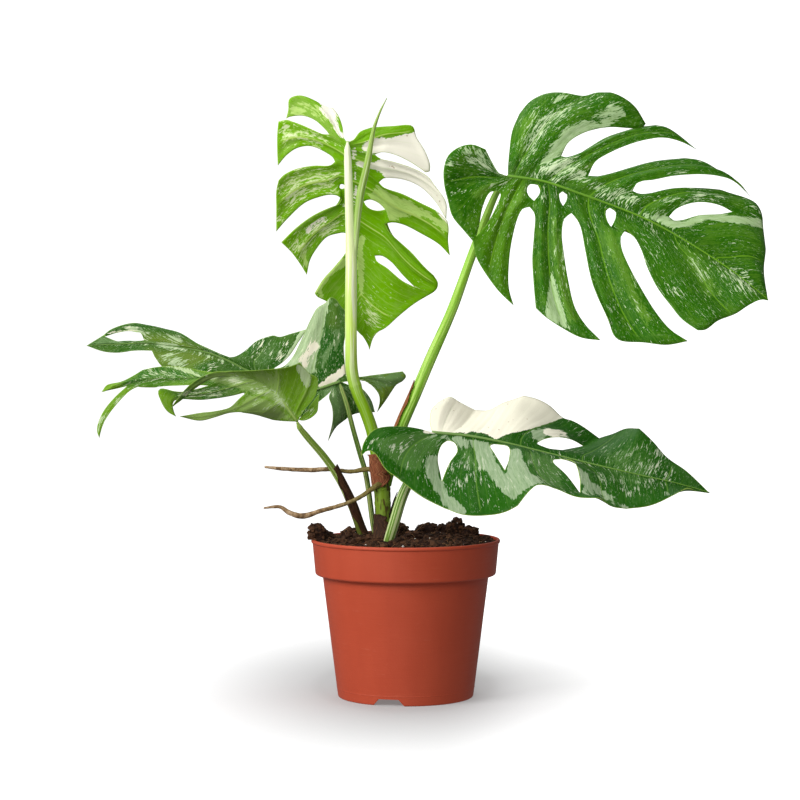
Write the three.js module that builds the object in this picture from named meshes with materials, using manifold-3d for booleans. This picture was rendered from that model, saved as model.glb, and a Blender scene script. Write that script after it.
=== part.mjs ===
// Variegated monstera in a plastic nursery pot.
// Millimetres, +Z up, +Y away from the front. The origin is the centre of the pot's underside.
// Leaves and stems are laid out as they are seen from the front and then moved to their depth.
import * as THREE from 'three';
import { mergeVertices } from 'three/addons/utils/BufferGeometryUtils.js';
import Module from 'manifold-3d';

const wasm = await Module();
wasm.setup();

// Driving dimensions of the pot
const RIM_DIAMETER = 170;
const POT_HEIGHT = 141.7;
const FOOT_RADIUS = 61;
const BODY_TOP_RADIUS = 74.9;
const COLLAR_FOOT_RADIUS = 81.3;
const COLLAR_HEIGHT = 31.7;
const WALL = 1.7;
const FLOOR_THICKNESS = 2.4;
const RIM_LIP = 1.2;
const FOOT_NOTCHES = 3;
const FIRST_NOTCH_ANGLE = -104.5;
const NOTCH_FOOT_WIDTH = 27;
const NOTCH_TOP_WIDTH = 18;
const NOTCH_HEIGHT = 6;
const DRAIN_HOLES = 6;
const DRAIN_HOLE_DIAMETER = 11;
const DRAIN_CIRCLE_RADIUS = 41;

// Driving dimensions of the plant
const CLEARANCE = 0.3;
const BLADE_THICKNESS = 0.8;
const MIDRIB_THICKNESS = 2.2;
const MIDRIB_TIP_THICKNESS = 1.0;
const SHEATH_THICKNESS = 0.8;
const SOIL_LEVEL = 138.5;
const STEM_BURIAL = 30;

// Place from which the front is seen
const EYE = new THREE.Vector3(-5, -2000, 331);

// Facets
const BLADE_ROWS = 7;
const SPLINE_STEPS = 12;
const RELAX_ROUNDS = 6;
const STEM_SIDES = 8;
const POT_SEGMENTS = 44;
const SOIL_SEGMENTS = 32;

// Leaf outlines in the front view: points are [x, z], a depth is how far a seam or rib lies behind
// the pot's axis, and a seam runs from the midrib to the margin between two lobes
const LEAF_A = {
  nodes: [0, 0.03, 0.11, 0.25, 0.46, 1],
  columns: [6, 4, 4, 5, 6],
  midrib: [[-52, 498], [-50.5, 473.5], [-48, 441.5], [-45, 409.5], [-41, 369.5], [-38, 340.5],
             [-32.5, 312]],
  depth: [0, 24, 40, 50, 56],
  sides: [
    {
      spans: [0, 1, 2, 3, 4, 5],
      seams: [
        {depth: [10], parts: [
          {before: [],
           after: [[-55, 501], [-56.5, 511], [-60, 520.5], [-65, 527.5]]},
        ]},
        {depth: [9], parts: [
          {join: [[-60, 500.5], [-68.5, 504.5]]},
          {before: [[-71.5, 508.5], [-81, 517], [-92, 521], [-104, 520], [-107, 518.5]],
           after: [[-74.5, 505], [-84, 509], [-92, 512.5], [-100, 515.5], [-106.5, 517.5],
                     [-114, 516]]},
        ]},
        {depth: [5, 2], parts: [
          {join: [[-55.5, 480.5], [-63.5, 480]]},
          {before: [[-65, 483.5], [-73, 489], [-85.5, 494], [-97, 492.5], [-106.5, 486],
                     [-114.5, 476.5]],
           after: [[-67.5, 477], [-82.5, 476.5], [-98.5, 473.5], [-109, 468.5], [-114, 463.5]]},
        ]},
        {depth: [1, -3], parts: [
          {join: [[-52, 458], [-54, 458.5]]},
          {before: [[-56, 462], [-59.5, 462], [-61.5, 459.5], [-61, 457.5], [-58.5, 456]],
           after: [[-54.5, 457], [-56.5, 456], [-58.5, 456]]},
          {join: [[-58.5, 452], [-57.5, 446.5]]},
          {before: [[-59.5, 449.5], [-66.5, 451], [-77.5, 448.5], [-90.5, 443], [-106.5, 428.5],
                     [-116, 417.5]],
           after: [[-60, 442.5], [-66.5, 440], [-82.5, 432], [-98.5, 420.5], [-111.5, 408]]},
        ]},
        {depth: [-2, -6], parts: [
          {join: [[-47.5, 410], [-51.5, 409.5]]},
          {before: [[-54, 416], [-62, 415.5], [-70, 412.5], [-78, 404.5], [-86, 392], [-89, 379]],
           after: [[-53.5, 399.5], [-63.5, 387], [-74.5, 374.5], [-81.5, 362.5]]},
        ]},
      ],
      margins: [
        [[-65, 527.5], [-71, 528.5], [-84, 535.5], [-95, 539], [-104, 536], [-105, 526.5],
         [-107, 518.5]],
        [[-114, 516], [-115, 505], [-115, 489], [-114.5, 476.5]],
        [[-114, 463.5], [-116, 454], [-116, 438], [-116, 417.5]],
        [[-111.5, 408], [-102, 398.5], [-94.5, 388], [-89, 379]],
        [[-81.5, 362.5], [-79.5, 359.5], [-70, 354.5], [-54, 340.5], [-41, 326], [-36, 321.5],
         [-32.5, 312]],
      ],
    },
    {
      spans: [0, 1, 2, 3, 4, 5],
      seams: [
        {depth: [12], parts: [
          {before: [],
           after: [[-47.5, 499], [-41, 506.5], [-31.5, 510]]},
        ]},
        {depth: [10, 6], parts: [
          {join: [[-39.5, 489], [-27.5, 486.5]]},
          {before: [[-21.5, 488.5], [-12, 487], [2.5, 480.5], [13.5, 473.5], [18, 470.5],
                     [21.5, 471.5]],
           after: [[-23.5, 483], [-12, 480.5], [5.5, 475], [20, 467], [27, 458]]},
        ]},
        {depth: [6, 2], parts: [
          {join: [[-37.5, 471.5], [-24, 461.5]]},
          {before: [[-20, 465], [-12, 465.5], [0.5, 463.5], [13.5, 457.5], [26.5, 444.5],
                     [36.5, 428.5]],
           after: [[-20, 457.5], [-2.5, 451], [13.5, 443], [29.5, 435], [37.5, 427]]},
        ]},
        {depth: [3, -2], parts: [
          {join: [[-43.5, 449.5], [-37.5, 444.5]]},
          {before: [[-32.5, 446.5], [-24, 444], [-16.5, 438]],
           after: [[-34.5, 439.5], [-25, 436.5], [-16.5, 438]]},
          {join: [[-14.5, 431], [-18.5, 424.5]]},
          {before: [[-12, 426], [-2.5, 424], [13.5, 416], [29.5, 406.5], [39.5, 396]],
           after: [[-16.5, 419], [-5.5, 408], [5.5, 398.5], [16.5, 387], [25.5, 378.5]]},
        ]},
        {depth: [-2], parts: [
          {join: [[-36, 404.5], [-27.5, 396]]},
          {before: [[-21, 396], [-12, 390], [-2.5, 379], [8, 368]],
           after: [[-26, 391.5], [-17, 385.5], [-2.5, 373.5], [8, 368]]},
          {join: [[24.5, 363]]},
        ]},
      ],
      margins: [
        [[-31.5, 510], [-12, 512], [6, 512], [9.5, 502], [17.5, 489], [22, 476.5], [21.5, 471.5]],
        [[27, 458], [32.5, 451], [36.5, 443], [36.5, 428.5]],
        [[37.5, 427], [38.5, 420.5], [38, 409.5], [39.5, 396]],
        [[25.5, 378.5], [29, 372], [28, 366.5], [24.5, 363]],
        [[24.5, 363], [8.5, 353.5], [-5.5, 342.5], [-18.5, 331], [-26.5, 327], [-30, 323],
         [-32.5, 312]],
      ],
    },
  ],
};
const LEAF_B = {
  nodes: [0, 0.03, 0.09, 0.19, 0.385, 0.56, 1],
  columns: [6, 3, 4, 4, 4, 5],
  midrib: [[91.5, 467.5], [105.5, 467], [133.5, 459.5], [162, 449.5], [192, 438.5],
             [214, 429.5], [234, 419.5], [262, 402.5], [292, 383.5], [325.5, 356.5]],
  depth: [11, 6, -4, -20],
  sides: [
    {
      spans: [0, 2, 3, 4, 5, 6],
      seams: [
        {depth: [34], parts: [
          {before: [],
           after: [[91.5, 473.5], [93, 493], [95.5, 509], [101.5, 523]]},
        ]},
        {depth: [42, 48], parts: [
          {join: [[117.5, 476.5], [139.5, 485.5]]},
          {before: [[145.5, 497], [157.5, 505], [169.5, 509], [183.5, 511], [211.5, 510.5],
                     [215, 514]],
           after: [[149.5, 483.5], [161.5, 491], [177.5, 501], [193.5, 507], [207.5, 511],
                     [223.5, 512.5]]},
        ]},
        {depth: [44, 50], parts: [
          {join: [[145.5, 462.5], [163.5, 467.5]]},
          {before: [[169.5, 479.5], [181.5, 487.5], [201.5, 496], [217.5, 500], [233.5, 502],
                     [247.5, 499], [260.5, 491]],
           after: [[173.5, 466.5], [187.5, 469.5], [201.5, 474.5], [221.5, 479], [241.5, 482]]},
        ]},
        {depth: [40, 46], parts: [
          {join: [[188, 447.5], [203.5, 454]]},
          {before: [[207.5, 461], [221.5, 463.5], [241.5, 467.5], [265.5, 469], [281.5, 467],
                     [297.5, 461.5], [308.5, 449.5]],
           after: [[211.5, 451], [231.5, 453.5], [255.5, 455], [271.5, 454]]},
        ]},
        {depth: [32], parts: [
          {join: [[222, 427.5], [236, 431]]},
          {before: [[242, 437.5], [254, 442.5], [266, 444], [282, 441.5], [293, 435.5]],
           after: [[239, 428], [248, 428], [262, 432], [282, 433.5], [293, 435.5]]},
          {join: [[308, 429.5], [320.5, 421.5]]},
        ]},
      ],
      margins: [
        [[101.5, 523], [111.5, 534], [125.5, 541], [139.5, 542], [159.5, 539.5], [169.5, 542],
         [181.5, 542.5], [193.5, 538], [205.5, 529], [215, 514]],
        [[223.5, 512.5], [233.5, 510.5], [245.5, 503.5], [260.5, 491]],
        [[241.5, 482], [255.5, 482.5], [267.5, 479.5], [281.5, 471.5], [299.5, 460.5],
         [308.5, 449.5]],
        [[271.5, 454], [291.5, 452], [306, 447.5], [314, 442.5], [319, 433.5], [320.5, 421.5]],
        [[320.5, 421.5], [322.5, 403.5], [321, 383.5], [322.5, 369.5], [325.5, 356.5]],
      ],
    },
    {
      spans: [0, 1, 2, 3, 4, 6],
      seams: [
        {depth: [-16], parts: [
          {before: [],
           after: [[89.5, 467], [84, 469.5], [77.5, 479.5], [71.5, 491]]},
        ]},
        {depth: [-24], parts: [
          {join: [[90, 459.5], [83, 454]]},
          {before: [[75.5, 452.5], [69, 439.5], [66, 423.5], [63.5, 413.5]],
           after: [[85, 451], [80, 437.5], [72, 423.5], [63.5, 413.5]]},
          {join: [[62, 411], [60.5, 409]]},
        ]},
        {depth: [-34, -38], parts: [
          {join: [[114.5, 463], [115, 460]]},
          {before: [[109, 459.5], [109.5, 450.5], [115, 445]],
           after: [[120.5, 459.5], [121, 453.5], [115, 445]]},
          {join: [[113.5, 442.5], [111, 439.5]]},
          {before: [[105, 438], [101, 431.5], [96, 413.5], [93, 393.5], [92.5, 367.5],
                     [97, 351.5]],
           after: [[115.5, 433.5], [115, 413.5], [113.5, 393.5], [115, 369.5], [117, 349.5]]},
        ]},
        {depth: [-42, -48], parts: [
          {join: [[139.5, 455.5], [140.5, 453.5]]},
          {before: [[137, 452.5], [137, 445.5], [141, 440.5]],
           after: [[144, 452.5], [144.5, 446.5], [141, 440.5]]},
          {join: [[144, 436.5], [148.5, 434]]},
          {before: [[142, 429], [140, 417.5], [142, 397.5], [146, 373.5], [152, 349.5],
                     [162, 333.5], [175, 320]],
           after: [[156, 425.5], [161, 401.5], [164.5, 383.5], [172, 359.5], [182, 338.5]]},
        ]},
        {depth: [-50, -54], parts: [
          {join: [[181, 441.5], [183, 439]]},
          {before: [[178.5, 438.5], [179, 429.5], [184, 421.5]],
           after: [[188, 437.5], [188, 429.5], [184, 421.5]]},
          {join: [[190, 417.5], [198.5, 419.5]]},
          {before: [[193, 414], [193, 404.5], [200, 387.5], [212, 365.5], [226, 343.5],
                     [238, 329.5], [253.5, 319.5]],
           after: [[205, 413.5], [212, 400.5], [216, 387.5], [226, 367.5], [238, 351.5],
                     [248, 339.5], [262.5, 329.5]]},
        ]},
      ],
      margins: [
        [[71.5, 491], [59.5, 495.5], [47.5, 493], [38, 485.5], [34, 473.5], [34.5, 459.5],
         [38, 445.5], [42, 431.5], [52, 419], [60.5, 409]],
        [[60.5, 409], [63, 395.5], [72, 379.5], [84, 363.5], [97, 351.5]],
        [[117, 349.5], [126, 341], [142, 330.5], [158, 322.5], [175, 320]],
        [[182, 338.5], [186, 325.5], [192, 320], [214, 318], [234.5, 316], [253.5, 319.5]],
        [[262.5, 329.5], [269.5, 330], [280.5, 338], [296.5, 344.5], [308, 352], [318, 356.5],
         [325.5, 356.5]],
      ],
    },
  ],
};
const LEAF_C = {
  nodes: [0, 0.06, 0.23, 0.4, 0.68, 1],
  columns: [6, 5, 5, 5, 5],
  midrib: [[24, 237.5], [56, 234.5], [85.5, 229], [111, 223], [141, 215.5], [162, 210.5],
             [204.5, 200.5], [247, 191], [273.5, 183.5]],
  depth: [-25, -31, -38, -46],
  sides: [
    {
      spans: [0, 1, 2, 3, 4, 5],
      seams: [
        {depth: [30], parts: [
          {before: [],
           after: [[21.5, 246.5], [23, 257], [29.5, 265]]},
        ]},
        {depth: [48], parts: [
          {join: [[49.5, 242], [62.5, 257.5]]},
        ]},
        {depth: [66], parts: [
          {join: [[92, 246.5], [106, 270.5]]},
        ]},
        {depth: [66], parts: [
          {join: [[123, 223], [117.5, 227.5]]},
          {before: [[124, 231.5], [136.5, 233.5], [149.5, 231], [160, 225.5]],
           after: [[123, 222.5], [134.5, 221], [147.5, 222.5], [160, 225.5]]},
          {join: [[168.5, 229], [174, 232]]},
        ]},
        {depth: [44], parts: [
          {join: [[202.5, 219], [210, 241]]},
        ]},
      ],
      margins: [
        [[29.5, 265], [40, 269.5], [49.5, 264.5], [62.5, 257.5]],
        [[62.5, 257.5], [75, 257], [88, 263.5], [106, 270.5]],
        [[106, 270.5], [117.5, 267.5], [130, 261], [142, 250.5], [149.5, 248], [160, 242],
         [174, 232]],
        [[174, 232], [185.5, 235.5], [198, 241], [210, 241]],
        [[210, 241], [221.5, 229.5], [234.5, 215.5], [251.5, 203.5], [260, 196], [273.5, 183.5]],
      ],
    },
    {
      spans: [0, 1, 2, 3, 4, 5],
      seams: [
        {depth: [-40], parts: [
          {before: [],
           after: [[7, 242], [-7.5, 243], [-29, 239.5], [-38, 227.5], [-40, 216]]},
        ]},
        {depth: [-56], parts: [
          {join: [[38.5, 233], [37.5, 230]]},
          {before: [[32.5, 226], [29, 214.5], [32.5, 193.5]],
           after: [[43.5, 228.5], [46.5, 221], [39.5, 210.5], [32.5, 193.5]]},
          {join: [[33, 182.5], [35, 169]]},
        ]},
        {depth: [-70], parts: [
          {join: [[82.5, 229], [83, 227]]},
          {before: [[75.5, 226.5], [80, 218.5], [89.5, 203]],
           after: [[92.5, 224.5], [93, 213.5], [89.5, 203]]},
          {join: [[96.5, 189], [100.5, 171.5]]},
        ]},
        {depth: [-66], parts: [
          {join: [[136.5, 216], [140, 213.5]]},
          {before: [[132, 212.5], [144, 199.5], [157, 183]],
           after: [[150.5, 211.5], [156, 197.5], [157, 183]]},
          {join: [[164.5, 180.5], [175, 178]]},
        ]},
        {depth: [-44], parts: [
          {join: [[197, 184.5], [198.5, 168.5]]},
        ]},
      ],
      margins: [
        [[-40, 216], [-34, 221], [-28, 218.5], [-18, 204], [-7.5, 196.5], [13.5, 180.5],
         [35, 169]],
        [[35, 169], [52, 163], [77.5, 163.5], [90, 166.5], [100.5, 171.5]],
        [[100.5, 171.5], [111.5, 184.5], [119.5, 190], [134.5, 187], [153.5, 179.5], [175, 178]],
        [[175, 178], [185.5, 170.5], [198.5, 168.5]],
        [[198.5, 168.5], [221.5, 172], [243, 182], [253.5, 187.5], [263, 184.5], [273.5, 183.5]],
      ],
    },
  ],
};
const LEAF_D = {
  nodes: [0, 0.008, 0.09, 0.16, 0.22, 0.33, 0.42, 0.7, 0.8, 1],
  columns: [2, 4, 2, 2, 3, 3, 4, 2, 3],
  midrib: [[-97.5, 247.5], [-110, 265], [-122, 277.5], [-133.5, 284.5], [-149, 288],
             [-169.5, 288.5], [-184.5, 287], [-202.5, 286], [-220.5, 286.5], [-238.5, 285],
             [-254, 281], [-273, 274]],
  depth: [-22, -28, -26, -23, -25, -30],
  sides: [
    {
      spans: [0, 2, 4, 5, 6, 7, 9],
      seams: [
        {depth: [-12], parts: [
          {before: [],
           after: [[-89.5, 259.5], [-81.5, 269.5], [-79, 279]]},
        ]},
        {depth: [-20], parts: [
          {join: [[-102, 275.5], [-95, 300]]},
        ]},
        {depth: [-24], parts: [
          {join: [[-129, 289], [-134.5, 293.5]]},
        ]},
        {depth: [-24, -34], parts: [
          {join: [[-153.5, 291.5], [-161.5, 292.5]]},
          {before: [],
           after: [[-172, 292], [-182, 288], [-193, 280.5], [-202, 271], [-211, 259.5]]},
        ]},
        {depth: [-34, 4], parts: [
          {join: [[-165, 289]]},
          {before: [[-172, 287], [-179.5, 283.5], [-190, 275.5], [-200, 267], [-211, 259.5]],
           after: []},
        ]},
        {depth: [8], parts: [
          {join: [[-231.5, 290], [-236, 293.5]]},
        ]},
      ],
      margins: [
        [[-79, 279], [-79.5, 286.5], [-86, 290], [-95, 300]],
        [[-95, 300], [-107.5, 296], [-120, 294.5], [-134.5, 293.5]],
        [[-134.5, 293.5], [-148, 293], [-161.5, 292.5]],
        [[-211, 259.5], [-211, 259.5]],
        [[-165, 289], [-174, 291.5], [-184.5, 293], [-193.5, 295], [-204.5, 296.5], [-214.5, 297],
         [-225, 296], [-236, 293.5]],
        [[-236, 293.5], [-245, 288], [-255, 283], [-268.5, 280], [-273, 274]],
      ],
    },
    {
      spans: [0, 1, 2, 3, 4, 5, 7, 8, 9],
      seams: [
        {depth: [14], parts: [
          {before: [],
           after: [[-90, 256], [-83.5, 265], [-78, 272]]},
        ]},
        {depth: [10, 0], parts: [
          {before: [[-91.5, 248], [-85, 250.5], [-79.5, 256], [-78.5, 263], [-78, 272]],
           after: []},
        ]},
        {depth: [28], parts: [
          {join: [[-108.5, 256], [-119, 248.5]]},
        ]},
        {depth: [27, 24], parts: [
          {join: [[-132.5, 263], [-148, 256]]},
          {before: [],
           after: [[-158, 255.5], [-171.5, 251], [-185, 248], [-203, 252]]},
        ]},
        {depth: [22, 10], parts: [
          {join: [[-138, 277.5], [-142.5, 274]]},
          {before: [[-149, 268.5], [-158, 260.5], [-171.5, 256.5], [-185, 255], [-203, 252]],
           after: [[-151.5, 271.5], [-161.5, 269.5], [-170.5, 268], [-185, 266.5], [-199, 268],
                     [-210, 269.5], [-213, 265], [-209, 254]]},
        ]},
        {depth: [8, -8], parts: [
          {join: [[-161.5, 284.5], [-177.5, 279.5]]},
          {before: [[-189.5, 276], [-203, 274], [-220, 277], [-222.5, 274.5], [-220, 265.5],
                     [-214.5, 256.5], [-206.5, 251.5]],
           after: []},
        ]},
        {depth: [-9, -13], parts: [
          {join: [[-234, 282], [-240.5, 278.5]]},
          {before: [],
           after: [[-247.5, 275], [-255, 268], [-266.5, 254], [-273, 242.5], [-275.5, 232.5]]},
        ]},
        {depth: [-13, -4], parts: [
          {join: [[-245, 281.5], [-250.5, 279]]},
          {before: [[-261, 269.5], [-271, 257.5], [-276.5, 246], [-277.5, 238.5],
                     [-275.5, 232.5]],
           after: []},
        ]},
      ],
      margins: [
        [[-78, 272], [-78, 272]],
        [[-97.5, 247.5], [-109.5, 247.5], [-119, 248.5]],
        [[-119, 248.5], [-128, 251.5], [-137, 254.5], [-148, 256]],
        [[-203, 252], [-203, 252]],
        [[-209, 254], [-206.5, 251.5]],
        [[-177.5, 279.5], [-189.5, 280], [-213.5, 279], [-229.5, 278], [-240.5, 278.5]],
        [[-275.5, 232.5], [-275.5, 232.5]],
        [[-250.5, 279], [-258.5, 277], [-265.5, 275.5], [-273, 274]],
      ],
    },
  ],
};
const LEAF_E = {
  nodes: [0, 0.02, 0.22, 0.42, 0.66, 1],
  columns: [5, 5, 5, 6, 4],
  midrib: [[-59, 283], [-79, 275.5], [-99.5, 277.5], [-122, 284.5], [-140, 292], [-158, 301.5],
             [-171, 307], [-184.5, 311], [-202.5, 314], [-234, 318], [-261, 316.5],
             [-286.5, 315.5]],
  depth: [35, 41, 47, 52, 56, 58],
  sides: [
    {
      spans: [0, 1, 2, 3, 4, 5],
      seams: [
        {depth: [10], parts: [
          {before: [],
           after: [[-48, 283.5], [-37.5, 284.5], [-24, 272], [-23, 265], [-25.5, 255.5]]},
        ]},
        {depth: [13, -5], parts: [
          {join: [[-59, 284.5], [-53.5, 288]]},
          {before: [[-42, 287.5], [-30, 289], [-14, 291], [-2.5, 292.5]],
           after: [[-55, 302.5], [-55.5, 316], [-53.5, 329.5], [-53.5, 345.5], [-58, 351]]},
        ]},
        {depth: [-6, 4], parts: [
          {join: [[-113, 288], [-118.5, 294.5]]},
          {before: [[-110, 296.5], [-102, 304.5], [-95, 318], [-86, 337.5]],
           after: [[-109.5, 301], [-103, 308], [-96.5, 318.5], [-88.5, 330.5]]},
        ]},
        {depth: [6, 12], parts: [
          {join: [[-158, 305]]},
          {before: [[-150.5, 305.5]],
           after: [[-166, 308], [-174, 311.5], [-184.5, 316], [-202.5, 327], [-216, 331],
                     [-229.5, 334]]},
        ]},
        {depth: [9], parts: [
          {join: [[-220.5, 317], [-235, 320.5]]},
          {before: [[-238.5, 327], [-253.5, 328.5], [-270, 323.5]],
           after: [[-244, 319], [-256.5, 319], [-270, 323.5]]},
          {join: [[-271, 325]]},
        ]},
      ],
      margins: [
        [[-25.5, 255.5], [-17.5, 266.5], [-11.5, 275.5], [-8, 280], [-2.5, 283.5], [0.5, 288],
         [-2.5, 292.5]],
        [[-58, 351], [-62.5, 357], [-67, 359], [-72.5, 353.5], [-79.5, 349], [-86, 337.5]],
        [[-88.5, 330.5], [-104, 326], [-113.5, 323], [-118, 324.5], [-124.5, 323],
         [-133.5, 319.5], [-140, 314], [-150.5, 305.5]],
        [[-229.5, 334], [-243, 336], [-254.5, 334], [-265.5, 329.5], [-271, 325]],
        [[-271, 325], [-278, 320.5], [-286.5, 315.5]],
      ],
    },
    {
      spans: [0, 1, 2, 3, 4, 5],
      seams: [
        {depth: [16], parts: [
          {before: [],
           after: [[-48, 279], [-39, 276.5], [-31, 266.5], [-27.5, 255.5]]},
        ]},
        {depth: [12, -7], parts: [
          {join: [[-64.5, 278.5], [-67, 274.5]]},
          {before: [[-69, 269.5], [-66, 259.5], [-65.5, 248.5], [-69.5, 229.5]],
           after: [[-72.5, 269.5], [-79, 265], [-84, 260.5]]},
        ]},
        {depth: [-15], parts: [
          {join: [[-109.5, 269.5], [-116.5, 262]]},
        ]},
        {depth: [-17, -12], parts: [
          {join: [[-148, 294.5], [-150.5, 292.5]]},
          {before: [[-146, 288], [-145, 281], [-147, 274]],
           after: [[-159.5, 292.5], [-167, 289], [-172, 283.5]]},
        ]},
        {depth: [-8], parts: [
          {join: [[-213.5, 311.5], [-228, 310.5]]},
        ]},
      ],
      margins: [
        [[-27.5, 255.5], [-39.5, 255], [-47.5, 253], [-55.5, 247.5], [-62.5, 241.5],
         [-69.5, 229.5]],
        [[-84, 260.5], [-92.5, 251.5], [-104, 256], [-116.5, 262]],
        [[-116.5, 262], [-129, 265.5], [-140, 269.5], [-147, 274]],
        [[-172, 283.5], [-185, 285.5], [-201, 290], [-218, 296], [-225, 304.5], [-228, 310.5]],
        [[-228, 310.5], [-243, 311], [-258.5, 309], [-271, 310], [-280.5, 313], [-286.5, 315.5]],
      ],
    },
  ],
};

// A point of the front view, moved along its sight line to a depth behind the pot's axis
function seen(x, z, depth) {
  const stretch = (depth - EYE.y) / -EYE.y;
  return new THREE.Vector3(EYE.x + (x - EYE.x) * stretch, depth, EYE.z + (z - EYE.z) * stretch);
}

function mix(a, b, share) {
  return a + (b - a) * share;
}

function clamp01(value) {
  return Math.min(1, Math.max(0, value));
}

// Smooth open line through hand-placed points of the front view
function smoothLine(points) {
  if (points.length < 3) return points.map(([x, z]) => [x, z]);
  const curve = new THREE.CatmullRomCurve3(
    points.map(([x, z]) => new THREE.Vector3(x, 0, z)), false, 'centripetal');
  const line = [];
  const steps = (points.length - 1) * SPLINE_STEPS;
  for (let i = 0; i <= steps; i += 1) {
    const p = curve.getPoint(i / steps);
    line.push([p.x, p.z]);
  }
  return line;
}

function lineLength(line) {
  let total = 0;
  for (let i = 1; i < line.length; i += 1) {
    total += Math.hypot(line[i][0] - line[i - 1][0], line[i][1] - line[i - 1][1]);
  }
  return total;
}

// Points at shares of a line's length, given in rising order
function pointsAlong(line, shares) {
  const total = lineLength(line);
  if (total < 1e-9) return shares.map(() => [...line[0]]);
  const found = [];
  let index = 1;
  let before = 0;
  for (const share of shares) {
    const wanted = share * total;
    let step = Math.hypot(line[index][0] - line[index - 1][0], line[index][1] - line[index - 1][1]);
    while (before + step < wanted && index < line.length - 1) {
      before += step;
      index += 1;
      step = Math.hypot(line[index][0] - line[index - 1][0], line[index][1] - line[index - 1][1]);
    }
    const part = step > 0 ? clamp01((wanted - before) / step) : 0;
    const [start, end] = [line[index - 1], line[index]];
    found.push([mix(start[0], end[0], part), mix(start[1], end[1], part)]);
  }
  return found;
}

function evenShares(count) {
  return Array.from({ length: count + 1 }, (_, i) => i / count);
}

// Rows that each stretch of a seam gets, with enough of them round a hole
function rowsPerStretch(lengths, fewest, total) {
  const whole = lengths.reduce((sum, length) => sum + length, 0);
  const rows = lengths.map((length, i) => Math.max(fewest[i], Math.round(length / whole * total)));
  const sum = () => rows.reduce((a, b) => a + b, 0);
  while (sum() > total) {
    let most = 0;
    rows.forEach((row, i) => { if (row - fewest[i] > rows[most] - fewest[most]) most = i; });
    rows[most] -= 1;
  }
  while (sum() < total) {
    let longest = 0;
    rows.forEach((row, i) => { if (lengths[i] / row > lengths[longest] / rows[longest]) longest = i; });
    rows[longest] += 1;
  }
  return rows;
}

// The two edges of a seam between neighbouring lobes: one line where the lobes are joined,
// two where a split or a hole parts them
function seamEdges(seam, start) {
  let here = start;
  const stretches = seam.parts.map((part) => {
    const before = smoothLine([here, ...(part.join ?? part.before)]);
    const after = smoothLine([here, ...(part.join ?? part.after)]);
    here = after[after.length - 1];
    return { before, after, open: part.join === undefined };
  });
  const lengths = stretches.map(({ before, after }) => Math.max(lineLength(before), lineLength(after)));
  const fewest = stretches.map(({ open }, i) => (open ? (i < stretches.length - 1 ? 3 : 2) : 1));
  const rows = rowsPerStretch(lengths, fewest, BLADE_ROWS);
  const edges = { before: [], after: [], partedFrom: 1 };
  let row = 0;
  stretches.forEach((stretch, i) => {
    const shares = evenShares(rows[i]);
    if (i < stretches.length - 1) shares.pop();
    edges.before.push(...pointsAlong(stretch.before, shares));
    edges.after.push(...pointsAlong(stretch.after, shares));
    if (stretch.open && i === stretches.length - 1) edges.partedFrom = row / BLADE_ROWS;
    row += rows[i];
  });
  return edges;
}

// Depth along a seam's edge, beside the midrib's own depth. It is level where the edge stays at a point.
function seamDepths(seam, edge, line, partedFrom) {
  const joined = (seam.depth[0] + seam.depth[seam.depth.length - 1]) / 2;
  const own = edge === 'before' ? seam.depth[0] : seam.depth[seam.depth.length - 1];
  const depths = [];
  evenShares(BLADE_ROWS).forEach((t, i) => {
    const stays = i > 0 && line[i][0] === line[i - 1][0] && line[i][1] === line[i - 1][1];
    const parted = partedFrom < 1 ? clamp01((t - partedFrom) / (1 - partedFrom)) : 0;
    depths.push(stays ? depths[i - 1] : joined * t ** 1.2 + (own - joined) * parted ** 1.5);
  });
  return depths;
}

// Shares of the midrib's length at a lobe's columns
function baseShares(leaf, from, to) {
  const shares = [];
  for (let i = from; i < to; i += 1) {
    for (let c = 0; c < leaf.columns[i]; c += 1) {
      shares.push(mix(leaf.nodes[i], leaf.nodes[i + 1], c / leaf.columns[i]));
    }
  }
  shares.push(leaf.nodes[to]);
  return shares;
}

// Grid between a lobe's four edges, evened out inside
function fillGrid(left, right, base, top) {
  const rows = left.length - 1;
  const columns = base.length - 1;
  const grid = left.map((_, i) => base.map((__, j) => {
    const t = i / rows;
    const s = j / columns;
    return [0, 1].map((k) => mix(left[i][k], right[i][k], s) + mix(base[j][k], top[j][k], t)
      - mix(mix(left[0][k], right[0][k], s), mix(left[rows][k], right[rows][k], s), t));
  }));
  for (let round = 0; round < RELAX_ROUNDS; round += 1) {
    const old = grid.map((row) => row.map((p) => [...p]));
    for (let i = 1; i < rows; i += 1) {
      for (let j = 1; j < columns; j += 1) {
        for (const k of [0, 1]) {
          grid[i][j][k] = (old[i - 1][j][k] + old[i + 1][j][k] + old[i][j - 1][k] + old[i][j + 1][k]) / 4;
        }
      }
    }
  }
  return grid;
}

// Depth of the midrib at a share of its length
function midribDepth(leaf, share) {
  const curve = new THREE.CatmullRomCurve3(
    leaf.depth.map((depth, i) => new THREE.Vector3(i / (leaf.depth.length - 1), depth, 0)));
  return curve.getPoint(share).y;
}

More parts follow.
